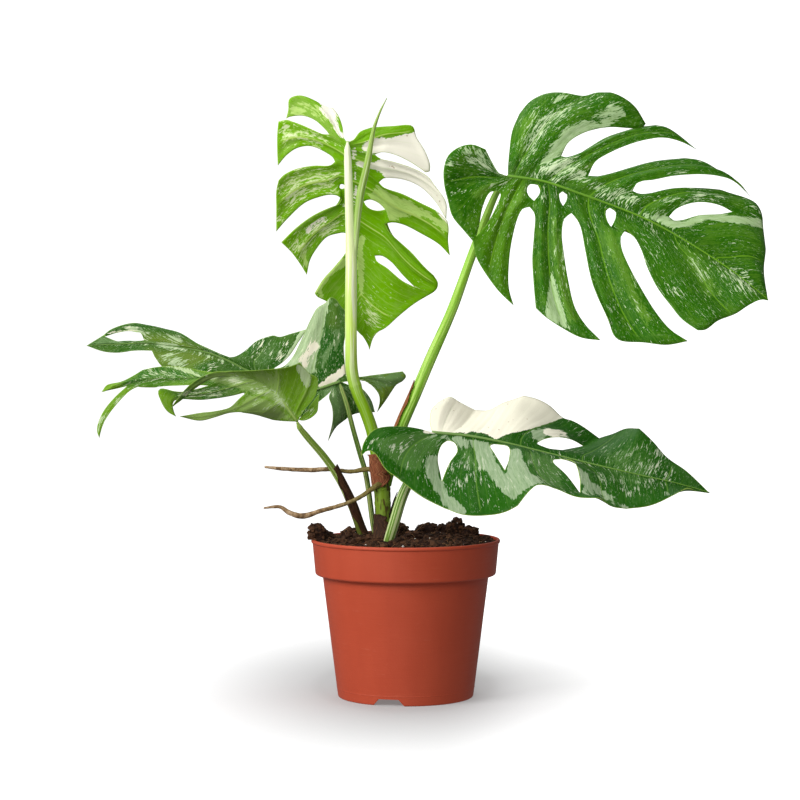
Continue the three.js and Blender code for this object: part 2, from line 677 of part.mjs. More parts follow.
// The blade's middle surface: welded points and triangles that share one winding
function bladeSurface(leaf) {
  const points = [];
  const ribShares = [];
  const triangles = [];
  const known = new Map();
  const midrib = smoothLine(leaf.midrib);
  const pointIndex = (x, z, depth, ribShare) => {
    const key = [x, z, depth].map((value) => Math.round(value * 200)).join();
    if (!known.has(key)) {
      known.set(key, points.length);
      points.push(seen(x, z, depth));
      ribShares.push(ribShare);
    }
    return known.get(key);
  };
  const addTriangle = (a, b, c, flip) => {
    if (a === b || b === c || c === a) return;
    triangles.push(flip ? [a, c, b] : [a, b, c]);
  };
  const viewArea = (a, b, c) => (points[b].x - points[a].x) * (points[c].z - points[a].z)
    - (points[b].z - points[a].z) * (points[c].x - points[a].x);
  // A cell is halved along the diagonal that leaves neither half turned over
  const addCell = (a, b, c, d, flip, turn) => {
    const first = Math.min(turn * viewArea(a, b, c), turn * viewArea(a, c, d));
    const second = Math.min(turn * viewArea(a, b, d), turn * viewArea(b, c, d));
    if (first >= second) {
      addTriangle(a, b, c, flip);
      addTriangle(a, c, d, flip);
    } else {
      addTriangle(a, b, d, flip);
      addTriangle(b, c, d, flip);
    }
  };
  leaf.sides.forEach((side, sideIndex) => {
    side.margins.forEach((margin, lobe) => {
      const shares = baseShares(leaf, side.spans[lobe], side.spans[lobe + 1]);
      const base = pointsAlong(midrib, shares);
      const seam = side.seams[lobe];
      const nextSeam = side.seams[lobe + 1];
      const leftEdges = seamEdges(seam, base[0]);
      const leftDepths = seamDepths(seam, 'after', leftEdges.after, leftEdges.partedFrom);
      const tip = base[base.length - 1];
      const rightEdges = nextSeam
        ? seamEdges(nextSeam, tip) : { before: leftDepths.map(() => tip), partedFrom: 1 };
      const rightDepths = nextSeam
        ? seamDepths(nextSeam, 'before', rightEdges.before, rightEdges.partedFrom) : leftDepths.map(() => 0);
      const top = pointsAlong(smoothLine(margin), evenShares(base.length - 1));
      top[0] = leftEdges.after[BLADE_ROWS];
      top[top.length - 1] = rightEdges.before[BLADE_ROWS];
      const grid = fillGrid(leftEdges.after, rightEdges.before, base, top);
      const index = grid.map((row, i) => row.map(([x, z], j) => {
        const s = j / (base.length - 1);
        const depth = midribDepth(leaf, shares[j]) + mix(leftDepths[i], rightDepths[i], s);
        return pointIndex(x, z, depth, i === 0 ? shares[j] : -1);
      }));
      const flip = sideIndex === 1;
      const halfColumn = Math.floor((base.length - 1) / 2);
      const turn = Math.sign(viewArea(index[0][0], index[0][base.length - 1], index[BLADE_ROWS][halfColumn]));
      for (let i = 0; i < BLADE_ROWS; i += 1) {
        for (let j = 0; j < base.length - 1; j += 1) {
          addCell(index[i][j], index[i][j + 1], index[i + 1][j + 1], index[i + 1][j], flip, turn);
        }
      }
    });
  });
  return { points, ribShares, triangles };
}

// A closed blade: the middle surface moved both ways by half the thickness, thicker at the midrib
function bladeGeometry(leaf) {
  const { points, ribShares, triangles } = bladeSurface(leaf);
  const normals = points.map(() => new THREE.Vector3());
  const edgeUses = new Map();
  for (const [a, b, c] of triangles) {
    const normal = new THREE.Vector3().crossVectors(
      points[b].clone().sub(points[a]), points[c].clone().sub(points[a]));
    for (const corner of [a, b, c]) normals[corner].add(normal);
    for (const [from, to] of [[a, b], [b, c], [c, a]]) edgeUses.set(`${from},${to}`, [from, to]);
  }
  const positions = [];
  for (const direction of [1, -1]) {
    points.forEach((point, i) => {
      const thickness = ribShares[i] < 0 ? BLADE_THICKNESS
        : mix(MIDRIB_THICKNESS, MIDRIB_TIP_THICKNESS, ribShares[i]);
      const offset = normals[i].clone().normalize().multiplyScalar(direction * thickness / 2);
      positions.push(...point.clone().add(offset).toArray());
    });
  }
  const count = points.length;
  const indices = [];
  for (const [a, b, c] of triangles) indices.push(a, b, c, c + count, b + count, a + count);
  for (const [key, [from, to]] of edgeUses) {
    if (!edgeUses.has(`${to},${from}`)) {
      indices.push(to, from, from + count, to, from + count, to + count);
    }
  }
  const geometry = new THREE.BufferGeometry();
  geometry.setAttribute('position', new THREE.Float32BufferAttribute(positions, 3));
  geometry.setIndex(indices);
  return geometry;
}

// Closed skin over rings of points, with a flat cap at each end
function loft(rings, pairedCaps = false) {
  const sides = rings[0].length;
  const positions = rings.flat().flatMap((point) => point.toArray());
  const indices = [];
  for (let i = 0; i < rings.length - 1; i += 1) {
    for (let j = 0; j < sides; j += 1) {
      const k = (j + 1) % sides;
      const [a, b, c, d] = [i * sides + j, i * sides + k, (i + 1) * sides + k, (i + 1) * sides + j];
      indices.push(a, b, c, a, c, d);
    }
  }
  const last = (rings.length - 1) * sides;
  if (pairedCaps) {
    for (let j = 0; j < sides / 2 - 1; j += 1) {
      const [a, b, c, d] = [j, j + 1, sides - 2 - j, sides - 1 - j];
      indices.push(a, c, b, a, d, c, last + a, last + b, last + c, last + a, last + c, last + d);
    }
  } else {
    for (let j = 1; j < sides - 1; j += 1) {
      indices.push(0, j + 1, j, last, last + j, last + j + 1);
    }
  }
  const geometry = new THREE.BufferGeometry();
  geometry.setAttribute('position', new THREE.Float32BufferAttribute(positions, 3));
  geometry.setIndex(indices);
  return geometry;
}

// Frames that turn as little as they can along a stem's smooth centre line
function stemFrames(stations, steps) {
  const centres = new THREE.CatmullRomCurve3(
    stations.map(([x, z, depth]) => seen(x, z, depth)), false, 'centripetal');
  const radii = new THREE.CatmullRomCurve3(
    stations.map(([, , , radius], i) => new THREE.Vector3(i, radius, 0)), false, 'catmullrom', 0);
  const frames = [];
  let side = new THREE.Vector3(1, 0, 0);
  for (let i = 0; i <= steps; i += 1) {
    const share = i / steps;
    const along = centres.getTangent(share);
    side = side.clone().addScaledVector(along, -side.dot(along)).normalize();
    const across = new THREE.Vector3().crossVectors(along, side);
    frames.push({ centre: centres.getPoint(share), radius: radii.getPoint(share).y, along, side, across });
  }
  return frames;
}

// A round tapering stem through stations of [x, z, depth, radius] in the front view,
// with a skin of extra stock where it cuts a hole for itself
function stemGeometry(stations, steps, extra = 0) {
  const frames = stemFrames(stations, steps);
  frames[0].centre.addScaledVector(frames[0].along, -extra);
  frames[steps].centre.addScaledVector(frames[steps].along, extra);
  const rings = frames.map(({ centre, radius, side, across }) =>
    Array.from({ length: STEM_SIDES }, (_, j) => {
      const angle = j / STEM_SIDES * 2 * Math.PI;
      return centre.clone()
        .addScaledVector(side, Math.cos(angle) * (radius + extra))
        .addScaledVector(across, Math.sin(angle) * (radius + extra));
    }));
  return loft(rings);
}

// A dry sheath: part of a tube's wall, between two angles in degrees measured from the right
function sheathGeometry(stations, steps, fromAngle, toAngle) {
  const arcSteps = 7;
  const rings = stemFrames(stations, steps).map(({ centre, radius, side, across }) => {
    const arc = (r, angle) => centre.clone()
      .addScaledVector(side, Math.cos(angle) * r)
      .addScaledVector(across, Math.sin(angle) * r);
    const angles = evenShares(arcSteps)
      .map((share) => THREE.MathUtils.degToRad(mix(fromAngle, toAngle, share)));
    return [...angles.map((angle) => arc(radius + SHEATH_THICKNESS, angle)),
      ...angles.reverse().map((angle) => arc(radius, angle))];
  });
  return loft(rings, true);
}

function toSolid(geometry) {
  const bare = geometry.clone();
  bare.deleteAttribute('normal');
  bare.deleteAttribute('uv');
  const merged = mergeVertices(bare, 1e-4);
  return new wasm.Manifold(new wasm.Mesh({
    numProp: 3,
    vertProperties: new Float32Array(merged.attributes.position.array),
    triVerts: new Uint32Array(merged.index.array),
  }));
}

function toGeometry(solid) {
  const mesh = solid.getMesh();
  const geometry = new THREE.BufferGeometry();
  geometry.setAttribute('position', new THREE.BufferAttribute(mesh.vertProperties, 3));
  geometry.setIndex(new THREE.BufferAttribute(mesh.triVerts, 1));
  return geometry;
}

// Cuts the second and later geometries out of the first
function cut(geometry, ...cutters) {
  let solid = toSolid(geometry);
  for (const cutter of cutters) solid = solid.subtract(toSolid(cutter));
  return toGeometry(solid);
}

// Stations of each stem: [x, z, depth, radius]
const STEMS = {
  main_stem: [[-21.5, SOIL_LEVEL - STEM_BURIAL, -9, 7.2], [-21.3, 132, -9, 7.4], [-20.4, 154, -8, 7.3],
    [-20.6, 172, -7, 7.1], [-21.3, 186, -6, 7.4], [-23, 196, -6, 7.7], [-24.6, 206, -6, 6.4]],
  petiole_a: [[-24, 200, -6, 5.4], [-26.7, 221.5, -7, 5.6], [-30.3, 239.5, -7, 5.6], [-36.6, 257.5, -7, 5.5],
    [-43.7, 274.5, -7, 5.4], [-48.2, 291.5, -7, 5.6], [-49.1, 320, -7, 5.3], [-49.1, 356, -7, 5.3],
    [-49, 392, -7, 5], [-49.9, 419, -7, 4.1], [-50.8, 446, -7, 3.8], [-51.7, 477, -7, 3.5],
    [-52.2, 490, -5, 2.8], [-52, 497, -1.6, 1.2]],
  petiole_b: [[-17.5, 190, -5, 4.6], [-12.3, 214.5, -3, 5.6], [-5.1, 239.5, 0, 5.4], [8.4, 271, 5, 5.2],
    [21.8, 302.5, 9, 5.1], [41.6, 347.5, 15, 4.6], [57.7, 392, 20, 4.1], [71.1, 428, 24, 3.6],
    [81.8, 453, 23, 3], [89.4, 463.5, 17, 2.4], [91.6, 466.8, 12.6, 1.2]],
  petiole_c: [[-18, SOIL_LEVEL - STEM_BURIAL, -31, 4.4], [-16.8, 132, -31, 4.6], [-9.6, 158.5, -31, 4.9],
    [-3.3, 179, -31, 4.8], [4.8, 197, -31, 4.3], [12.9, 214.5, -30, 3.8], [20, 228, -28, 3.2],
    [23.7, 235.4, -26, 1.4]],
  petiole_d: [[-33, SOIL_LEVEL - STEM_BURIAL, 23, 4.2], [-35.5, 138, 21, 4.3], [-40.2, 149.5, 19, 4.2],
    [-48.3, 172, 13, 4], [-59.1, 194.5, 6, 3.6], [-72.5, 214.5, -3, 3.2], [-87.8, 232.5, -14, 2.9],
    [-95, 241.5, -20, 2.5], [-97.4, 246.4, -22.4, 1.2]],
  petiole_e: [[-25, SOIL_LEVEL - STEM_BURIAL, 14, 2.6], [-25.8, 140.5, 14, 2.6], [-28.5, 150, 14, 2.5],
    [-35.7, 199, 17, 2.4], [-42, 221.5, 20, 2.3], [-48.2, 244, 24, 2.2], [-52.7, 262, 28, 2.1],
    [-57.2, 275.5, 32, 1.9], [-58.9, 280.6, 33.7, 1]],
  new_leaf: [[-46.6, 384, -7, 1.2], [-45.6, 398, -7.5, 2.4], [-43.8, 425, -8, 3], [-40.9, 450, -8.5, 3.5],
    [-34.7, 477, -9, 3.1], [-31, 497, -9, 2.2], [-28.4, 510, -9, 1.6], [-23, 524.5, -9, 1],
    [-16.9, 536.7, -9, 0.4]],
  aerial_root_1: [[-29, 203.5, -4, 2.6], [-34, 204.3, -2, 2.3], [-50, 202.2, 7, 1.9], [-60, 203.3, 11, 1.9],
    [-68, 204.3, 13, 2], [-86, 203.6, 13, 2.1], [-108.5, 204.5, 13, 1.8], [-126.5, 206.3, 14, 1.1]],
  aerial_root_2: [[-21.5, 191, -11, 3], [-25, 190, -14, 2.7], [-30.3, 186.5, -15, 2.3],
    [-39.3, 180.2, -14, 2], [-50, 174.7, -13, 1.9], [-63.6, 170.2, -12, 1.9], [-77, 166.6, -11, 2],
    [-92.4, 162, -10, 2.6],
    [-104, 164.8, -10, 2.3], [-113, 170.2, -10, 1.6], [-127.5, 169.3, -10, 0.9]],
};

// Dry sheaths: inner wall as stations, and the part of the round that they cover
const SHEATHS = {
  node_sheath: { stations: [[-21.6, 189, -6, 8.1], [-24, 204, -6, 7.8], [-26.8, 219, -7, 6.3]],
    from: 120, to: 330 },
  base_sheath: { stations: [[-21.4, 140, -9, 8], [-20.4, 154, -8, 7.8], [-20.5, 164, -7.5, 7.6]],
    from: 110, to: 300 },
  petiole_b_sheath: { stations: [[-9, 226, -1.5, 5.9], [-5.1, 239.5, 0, 5.8], [8.4, 271, 5, 5.6],
    [13, 282, 6.5, 5.5]], from: 130, to: 235 },
  petiole_d_sheath: { stations: [[-36.5, 141, 20.6, 4.7], [-40.2, 149.5, 19, 4.6], [-48.3, 172, 13, 4.4],
    [-59.1, 194.5, 6, 4], [-66, 206, 2, 3.8]], from: -110, to: 60 },
};

// Steps between the ends of a stem for its length
const stemSteps = (stations) => Math.max(6, Math.round((stations.length - 1) * 1.5));
const stem = (name, extra = 0) => stemGeometry(STEMS[name], stemSteps(STEMS[name]), extra);
const sheath = (name) => {
  const { stations, from, to } = SHEATHS[name];
  return sheathGeometry(stations, (stations.length - 1) * 2, from, to);
};

// Pot wall: radius of the outside at a height
const COLLAR_FOOT = POT_HEIGHT - COLLAR_HEIGHT;
const outsideRadius = (z) => (z < COLLAR_FOOT
  ? mix(FOOT_RADIUS, BODY_TOP_RADIUS, z / COLLAR_FOOT)
  : mix(COLLAR_FOOT_RADIUS, RIM_DIAMETER / 2 - RIM_LIP, (z - COLLAR_FOOT) / COLLAR_HEIGHT));
const insideRadius = (z) => (z < COLLAR_FOOT + WALL
  ? outsideRadius(Math.min(z, COLLAR_FOOT - 0.01))
  : outsideRadius(z)) - WALL;

// The pot's underside has a flat pad in its middle and a raised gutter with the drain holes
const PAD_RADIUS = 22;
const GUTTER_HEIGHT = 7;
const FOOT_RING = 2;

// Stock that cuts a notch or a hole, and how far it stands out past the foot
const CUTTER_LENGTH = 20;
const CUTTER_OUTSIDE = 6;
const DRAIN_HOLE_SIDES = 12;

function potProfile(grow = 0) {
  const rim = RIM_DIAMETER / 2;
  const ledge = COLLAR_FOOT + WALL;
  const gutterTop = GUTTER_HEIGHT + FLOOR_THICKNESS;
  return [
    [0, -grow], [PAD_RADIUS, -grow], [PAD_RADIUS + 3, GUTTER_HEIGHT - grow],
    [FOOT_RADIUS - FOOT_RING - 0.4, GUTTER_HEIGHT - grow], [FOOT_RADIUS - FOOT_RING, -grow],
    [FOOT_RADIUS - 0.6, -grow], [FOOT_RADIUS + grow, 0.8],
    [BODY_TOP_RADIUS + grow, COLLAR_FOOT - grow], [COLLAR_FOOT_RADIUS - 1, COLLAR_FOOT - grow],
    [COLLAR_FOOT_RADIUS + grow, COLLAR_FOOT + 1.2],
    [rim - RIM_LIP + grow, POT_HEIGHT - 3.4 - grow], [rim + grow, POT_HEIGHT - 2.6],
    [rim + grow, POT_HEIGHT - 0.8], [rim - 0.7, POT_HEIGHT + grow],
    [insideRadius(POT_HEIGHT) - grow, POT_HEIGHT + grow], [insideRadius(ledge + 0.1) - grow, ledge + grow],
    [insideRadius(COLLAR_FOOT - 1) - grow, ledge + grow], [insideRadius(gutterTop) - grow, gutterTop + grow],
    [PAD_RADIUS + 1.4, gutterTop + grow], [PAD_RADIUS - 1.6, FLOOR_THICKNESS + grow],
    [0, FLOOR_THICKNESS + grow],
  ].map(([r, z]) => new THREE.Vector2(r, z));
}

const potOfRevolution = (grow) => (
  new THREE.LatheGeometry(potProfile(grow), POT_SEGMENTS).rotateX(Math.PI / 2));

// A wedge that lets water out under the foot ring, long enough to pass through it
function notchCutter(angle) {
  const outline = [[-NOTCH_FOOT_WIDTH / 2 - 1.5, -1], [NOTCH_FOOT_WIDTH / 2 + 1.5, -1],
    [NOTCH_TOP_WIDTH / 2, NOTCH_HEIGHT], [-NOTCH_TOP_WIDTH / 2, NOTCH_HEIGHT]];
  const shape = new THREE.Shape(outline.map(([x, z]) => new THREE.Vector2(x, z)));
  const wedge = new THREE.ExtrudeGeometry(shape, { depth: CUTTER_LENGTH, bevelEnabled: false });
  return wedge.rotateX(Math.PI / 2).translate(0, CUTTER_LENGTH - CUTTER_OUTSIDE - FOOT_RADIUS, 0)
    .rotateZ(THREE.MathUtils.degToRad(angle + 90));
}

function drainHoleCutter(index) {
  const radius = DRAIN_HOLE_DIAMETER / 2;
  const hole = new THREE.CylinderGeometry(radius, radius, CUTTER_LENGTH, DRAIN_HOLE_SIDES);
  return hole.rotateX(Math.PI / 2).translate(DRAIN_CIRCLE_RADIUS, 0, GUTTER_HEIGHT)
    .rotateZ((index + 0.25) / DRAIN_HOLES * 2 * Math.PI);
}

function potGeometry() {
  const cutters = [];
  for (let i = 0; i < FOOT_NOTCHES; i += 1) {
    cutters.push(notchCutter(FIRST_NOTCH_ANGLE + i * 360 / FOOT_NOTCHES));
  }
  for (let i = 0; i < DRAIN_HOLES; i += 1) cutters.push(drainHoleCutter(i));
  return cut(potOfRevolution(0), ...cutters);
}

// Height of the soil's rough top, lower beside the rim
function soilHeight(x, y) {
  const r = Math.hypot(x, y);
  const rough = 1.6 * Math.sin(x * 0.13 + 0.8) * Math.cos(y * 0.16 - 0.4)
    + 1.2 * Math.sin(x * 0.31 + y * 0.23) + 0.8 * Math.cos(y * 0.37 - x * 0.29);
  const inwards = clamp01((insideRadius(SOIL_LEVEL) - r) / 25);
  return SOIL_LEVEL + inwards * (3.2 + rough) + (1 - inwards) * 0.5 * rough;
}

// Radii of the rings of points on the soil's top
const SOIL_TOP_RINGS = [76, 68, 58, 47, 36, 25, 14, 5];

// Clods that stand out of the soil: [x, y, z, size across, height]
const CLODS = [
  [-80, -4, 143.5, 9, 13], [-74, 8, 141, 8, 8], [47, 28, 143, 8, 15], [58, 22, 142, 9, 9],
  [20, 50, 143, 12, 8], [-8, 40, 144, 12, 9], [36, 44, 143, 10, 8], [6, -8, 142, 10, 6],
  [-50, 30, 142, 10, 7],
];

function clodGeometry([x, y, z, across, height], seed) {
  const clod = new THREE.IcosahedronGeometry(1, 1);
  const place = clod.attributes.position;
  for (let i = 0; i < place.count; i += 1) {
    const p = new THREE.Vector3().fromBufferAttribute(place, i);
    const swell = 1 + 0.16 * Math.sin(3.1 * p.x + seed) + 0.12 * Math.cos(4.3 * p.y - 2 * p.z + seed);
    place.setXYZ(i, x + p.x * across * swell, y + p.y * across * swell, z + p.z * height * swell);
  }
  return clod;
}

function soilGeometry() {
  const ring = (r, height) => Array.from({ length: SOIL_SEGMENTS }, (_, j) => {
    const angle = j / SOIL_SEGMENTS * 2 * Math.PI;
    const [x, y] = [r * Math.cos(angle), r * Math.sin(angle)];
    return new THREE.Vector3(x, y, height === undefined ? soilHeight(x, y) : height);
  });
  const gutterTop = GUTTER_HEIGHT + FLOOR_THICKNESS + CLEARANCE;
  const inner = (z) => insideRadius(z) - 2 * CLEARANCE;
  const ledge = COLLAR_FOOT + WALL + CLEARANCE;
  const rings = [
    ring(PAD_RADIUS - 2.2, FLOOR_THICKNESS + CLEARANCE), ring(PAD_RADIUS + 0.8, gutterTop),
    ring(inner(gutterTop), gutterTop), ring(inner(COLLAR_FOOT - 1), ledge),
    ring(inner(ledge + 0.2), ledge), ring(inner(SOIL_LEVEL), SOIL_LEVEL - 1),
  ];
  for (const r of SOIL_TOP_RINGS) rings.push(ring(r));
  let solid = toSolid(loft(rings));
  CLODS.forEach((clod, i) => { solid = solid.add(toSolid(clodGeometry(clod, i))); });
  solid = solid.subtract(toSolid(potOfRevolution(CLEARANCE)));
  for (const name of ['main_stem', 'petiole_c', 'petiole_d', 'petiole_e']) {
    solid = solid.subtract(toSolid(stem(name, CLEARANCE)));
  }
  for (const name of ['base_sheath', 'petiole_d_sheath']) {
    const hole = stemGeometry(SHEATHS[name].stations, 6, 2 * SHEATH_THICKNESS + CLEARANCE);
    solid = solid.subtract(toSolid(hole));
  }
  return toGeometry(largest(solid));
}

// The biggest of a solid's separate bodies: loose scraps are dropped
function largest(solid) {
  return solid.decompose().reduce((best, body) => (body.volume() > best.volume() ? body : best));
}

const MATERIALS = {
  pot: { color: 0xbe5238, roughness: 0.45, metalness: 0 },
  soil: { color: 0x3a2519, roughness: 0.95, metalness: 0 },
  stem: { color: 0x5f9130, roughness: 0.5, metalness: 0 },
  petiole: { color: 0x8cbf55, roughness: 0.45, metalness: 0 },
  leaf: { color: 0x2f6d1f, roughness: 0.4, metalness: 0 },
  sheath: { color: 0x6b4330, roughness: 0.8, metalness: 0 },
  root: { color: 0x8a6a44, roughness: 0.75, metalness: 0 },
};

const group = new THREE.Group();

function addPiece(name, material, geometry) {
  const mesh = new THREE.Mesh(geometry, new THREE.MeshStandardMaterial(MATERIALS[material]));
  mesh.name = name;
  group.add(mesh);
}

// A stem or sheath cut clear of the stems that it grows from or lies against
const cutClear = (geometry, ...names) => cut(geometry, ...names.map((name) => stem(name, CLEARANCE)));
// What a cut leaves, without its loose scraps
const oneBody = (geometry) => toGeometry(largest(toSolid(geometry)));

const LEAVES = { leaf_a: LEAF_A, leaf_b: LEAF_B, leaf_c: LEAF_C, leaf_d: LEAF_D, leaf_e: LEAF_E };

addPiece('pot', 'pot', potGeometry());
addPiece('soil', 'soil', soilGeometry());
addPiece('main_stem', 'stem', toGeometry(toSolid(stem('main_stem'))));
addPiece('petiole_a', 'petiole', cutClear(stem('petiole_a'), 'main_stem', 'new_leaf'));
addPiece('petiole_b', 'petiole', cutClear(stem('petiole_b'), 'main_stem', 'petiole_a'));
for (const name of ['petiole_c', 'petiole_d', 'petiole_e', 'new_leaf']) {
  addPiece(name, 'petiole', toGeometry(toSolid(stem(name))));
}
for (const name of ['aerial_root_1', 'aerial_root_2']) {
  addPiece(name, 'root', cutClear(stem(name), 'main_stem', 'petiole_a'));
}
addPiece('node_sheath', 'sheath', oneBody(
  cutClear(sheath('node_sheath'), 'main_stem', 'petiole_a', 'petiole_b', 'aerial_root_1', 'aerial_root_2')));
addPiece('base_sheath', 'sheath', oneBody(cutClear(sheath('base_sheath'), 'main_stem')));
addPiece('petiole_b_sheath', 'sheath', cutClear(sheath('petiole_b_sheath'), 'petiole_b'));
addPiece('petiole_d_sheath', 'sheath', oneBody(
  cutClear(sheath('petiole_d_sheath'), 'petiole_d', 'aerial_root_2')));
for (const [name, leaf] of Object.entries(LEAVES)) addPiece(name, 'leaf', bladeGeometry(leaf));

export default group;
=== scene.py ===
# Potted variegated monstera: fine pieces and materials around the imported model.
# The object is built in millimetres and scaled to metres. Leaves and stems are laid out as they
# are seen from the front, and each point is then moved along its sight line to its depth.
import math
import random
import bmesh
import bpy
import numpy as np
from mathutils import Euler, Matrix, Vector, noise
from mathutils.kdtree import KDTree


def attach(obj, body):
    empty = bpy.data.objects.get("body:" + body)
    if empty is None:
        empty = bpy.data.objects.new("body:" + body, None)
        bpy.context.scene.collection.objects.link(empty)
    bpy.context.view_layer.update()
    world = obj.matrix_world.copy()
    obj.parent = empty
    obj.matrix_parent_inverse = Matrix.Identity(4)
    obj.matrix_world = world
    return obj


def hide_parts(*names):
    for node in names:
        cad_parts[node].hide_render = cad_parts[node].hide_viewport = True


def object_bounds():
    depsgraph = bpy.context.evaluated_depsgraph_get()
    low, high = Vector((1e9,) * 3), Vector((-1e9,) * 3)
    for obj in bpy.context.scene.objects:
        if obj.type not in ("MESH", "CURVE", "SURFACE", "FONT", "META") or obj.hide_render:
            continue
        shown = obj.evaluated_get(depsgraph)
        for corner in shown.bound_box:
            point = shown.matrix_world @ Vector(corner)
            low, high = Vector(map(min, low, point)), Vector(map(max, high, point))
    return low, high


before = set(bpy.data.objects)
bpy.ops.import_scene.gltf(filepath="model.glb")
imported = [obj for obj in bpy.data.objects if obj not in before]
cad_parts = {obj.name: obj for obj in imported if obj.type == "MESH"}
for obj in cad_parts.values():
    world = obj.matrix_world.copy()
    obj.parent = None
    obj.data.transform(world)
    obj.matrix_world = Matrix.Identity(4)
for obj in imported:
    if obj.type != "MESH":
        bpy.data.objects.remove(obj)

cad_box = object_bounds()
MM = 0.001
# The eye of the front view in millimetres, and the camera in metres
EYE = np.array([-5.0, -2000.0, 331.0])
CAMERA_PLACE = (-0.0051, -2.0, 0.331)
CAMERA_PITCH = math.radians(1.845)
LENS_MM = 100.2
SENSOR_MM = 36.0

# Fineness of the blades: rows from midrib to margin, columns for one in the leaf's own list, rounds
# that even out the grid, and points from one point of a curve to the next
ROWS = 40
COLUMN_FACTOR = 6
RELAX_ROUNDS = 36
SPLINE_STEPS = 12
# Half the blade's thickness, half that of its margin, and how far from the margin it is full
BLADE_HALF = 0.36
MARGIN_HALF = 0.16
MARGIN_TAPER = 1.5
# Vein numbers left out between lobes, so that their streaks differ
VEINS_BETWEEN_LOBES = 3

# Relief of the blades: how far apart veins lie, where the relief is full beside margin and midrib,
# how far panels stand out between grooves and small quilts, slow waves, and the midrib's channel
VEIN_SPACING = 6.5
RELIEF_FROM_EDGE = 6
RELIEF_FROM_RIB = 8
VAULT = 1.7
VAULT_FULL_WIDTH = 26
GROOVE = 0.5
GROOVE_WIDTH = 1.4
QUILT = 0.22
WAVE = 1.3
WAVE_FREQUENCY = 0.03
WAVE_START = 30
RIB_CHANNEL = 0.9
RIB_CHANNEL_WIDTH = 9

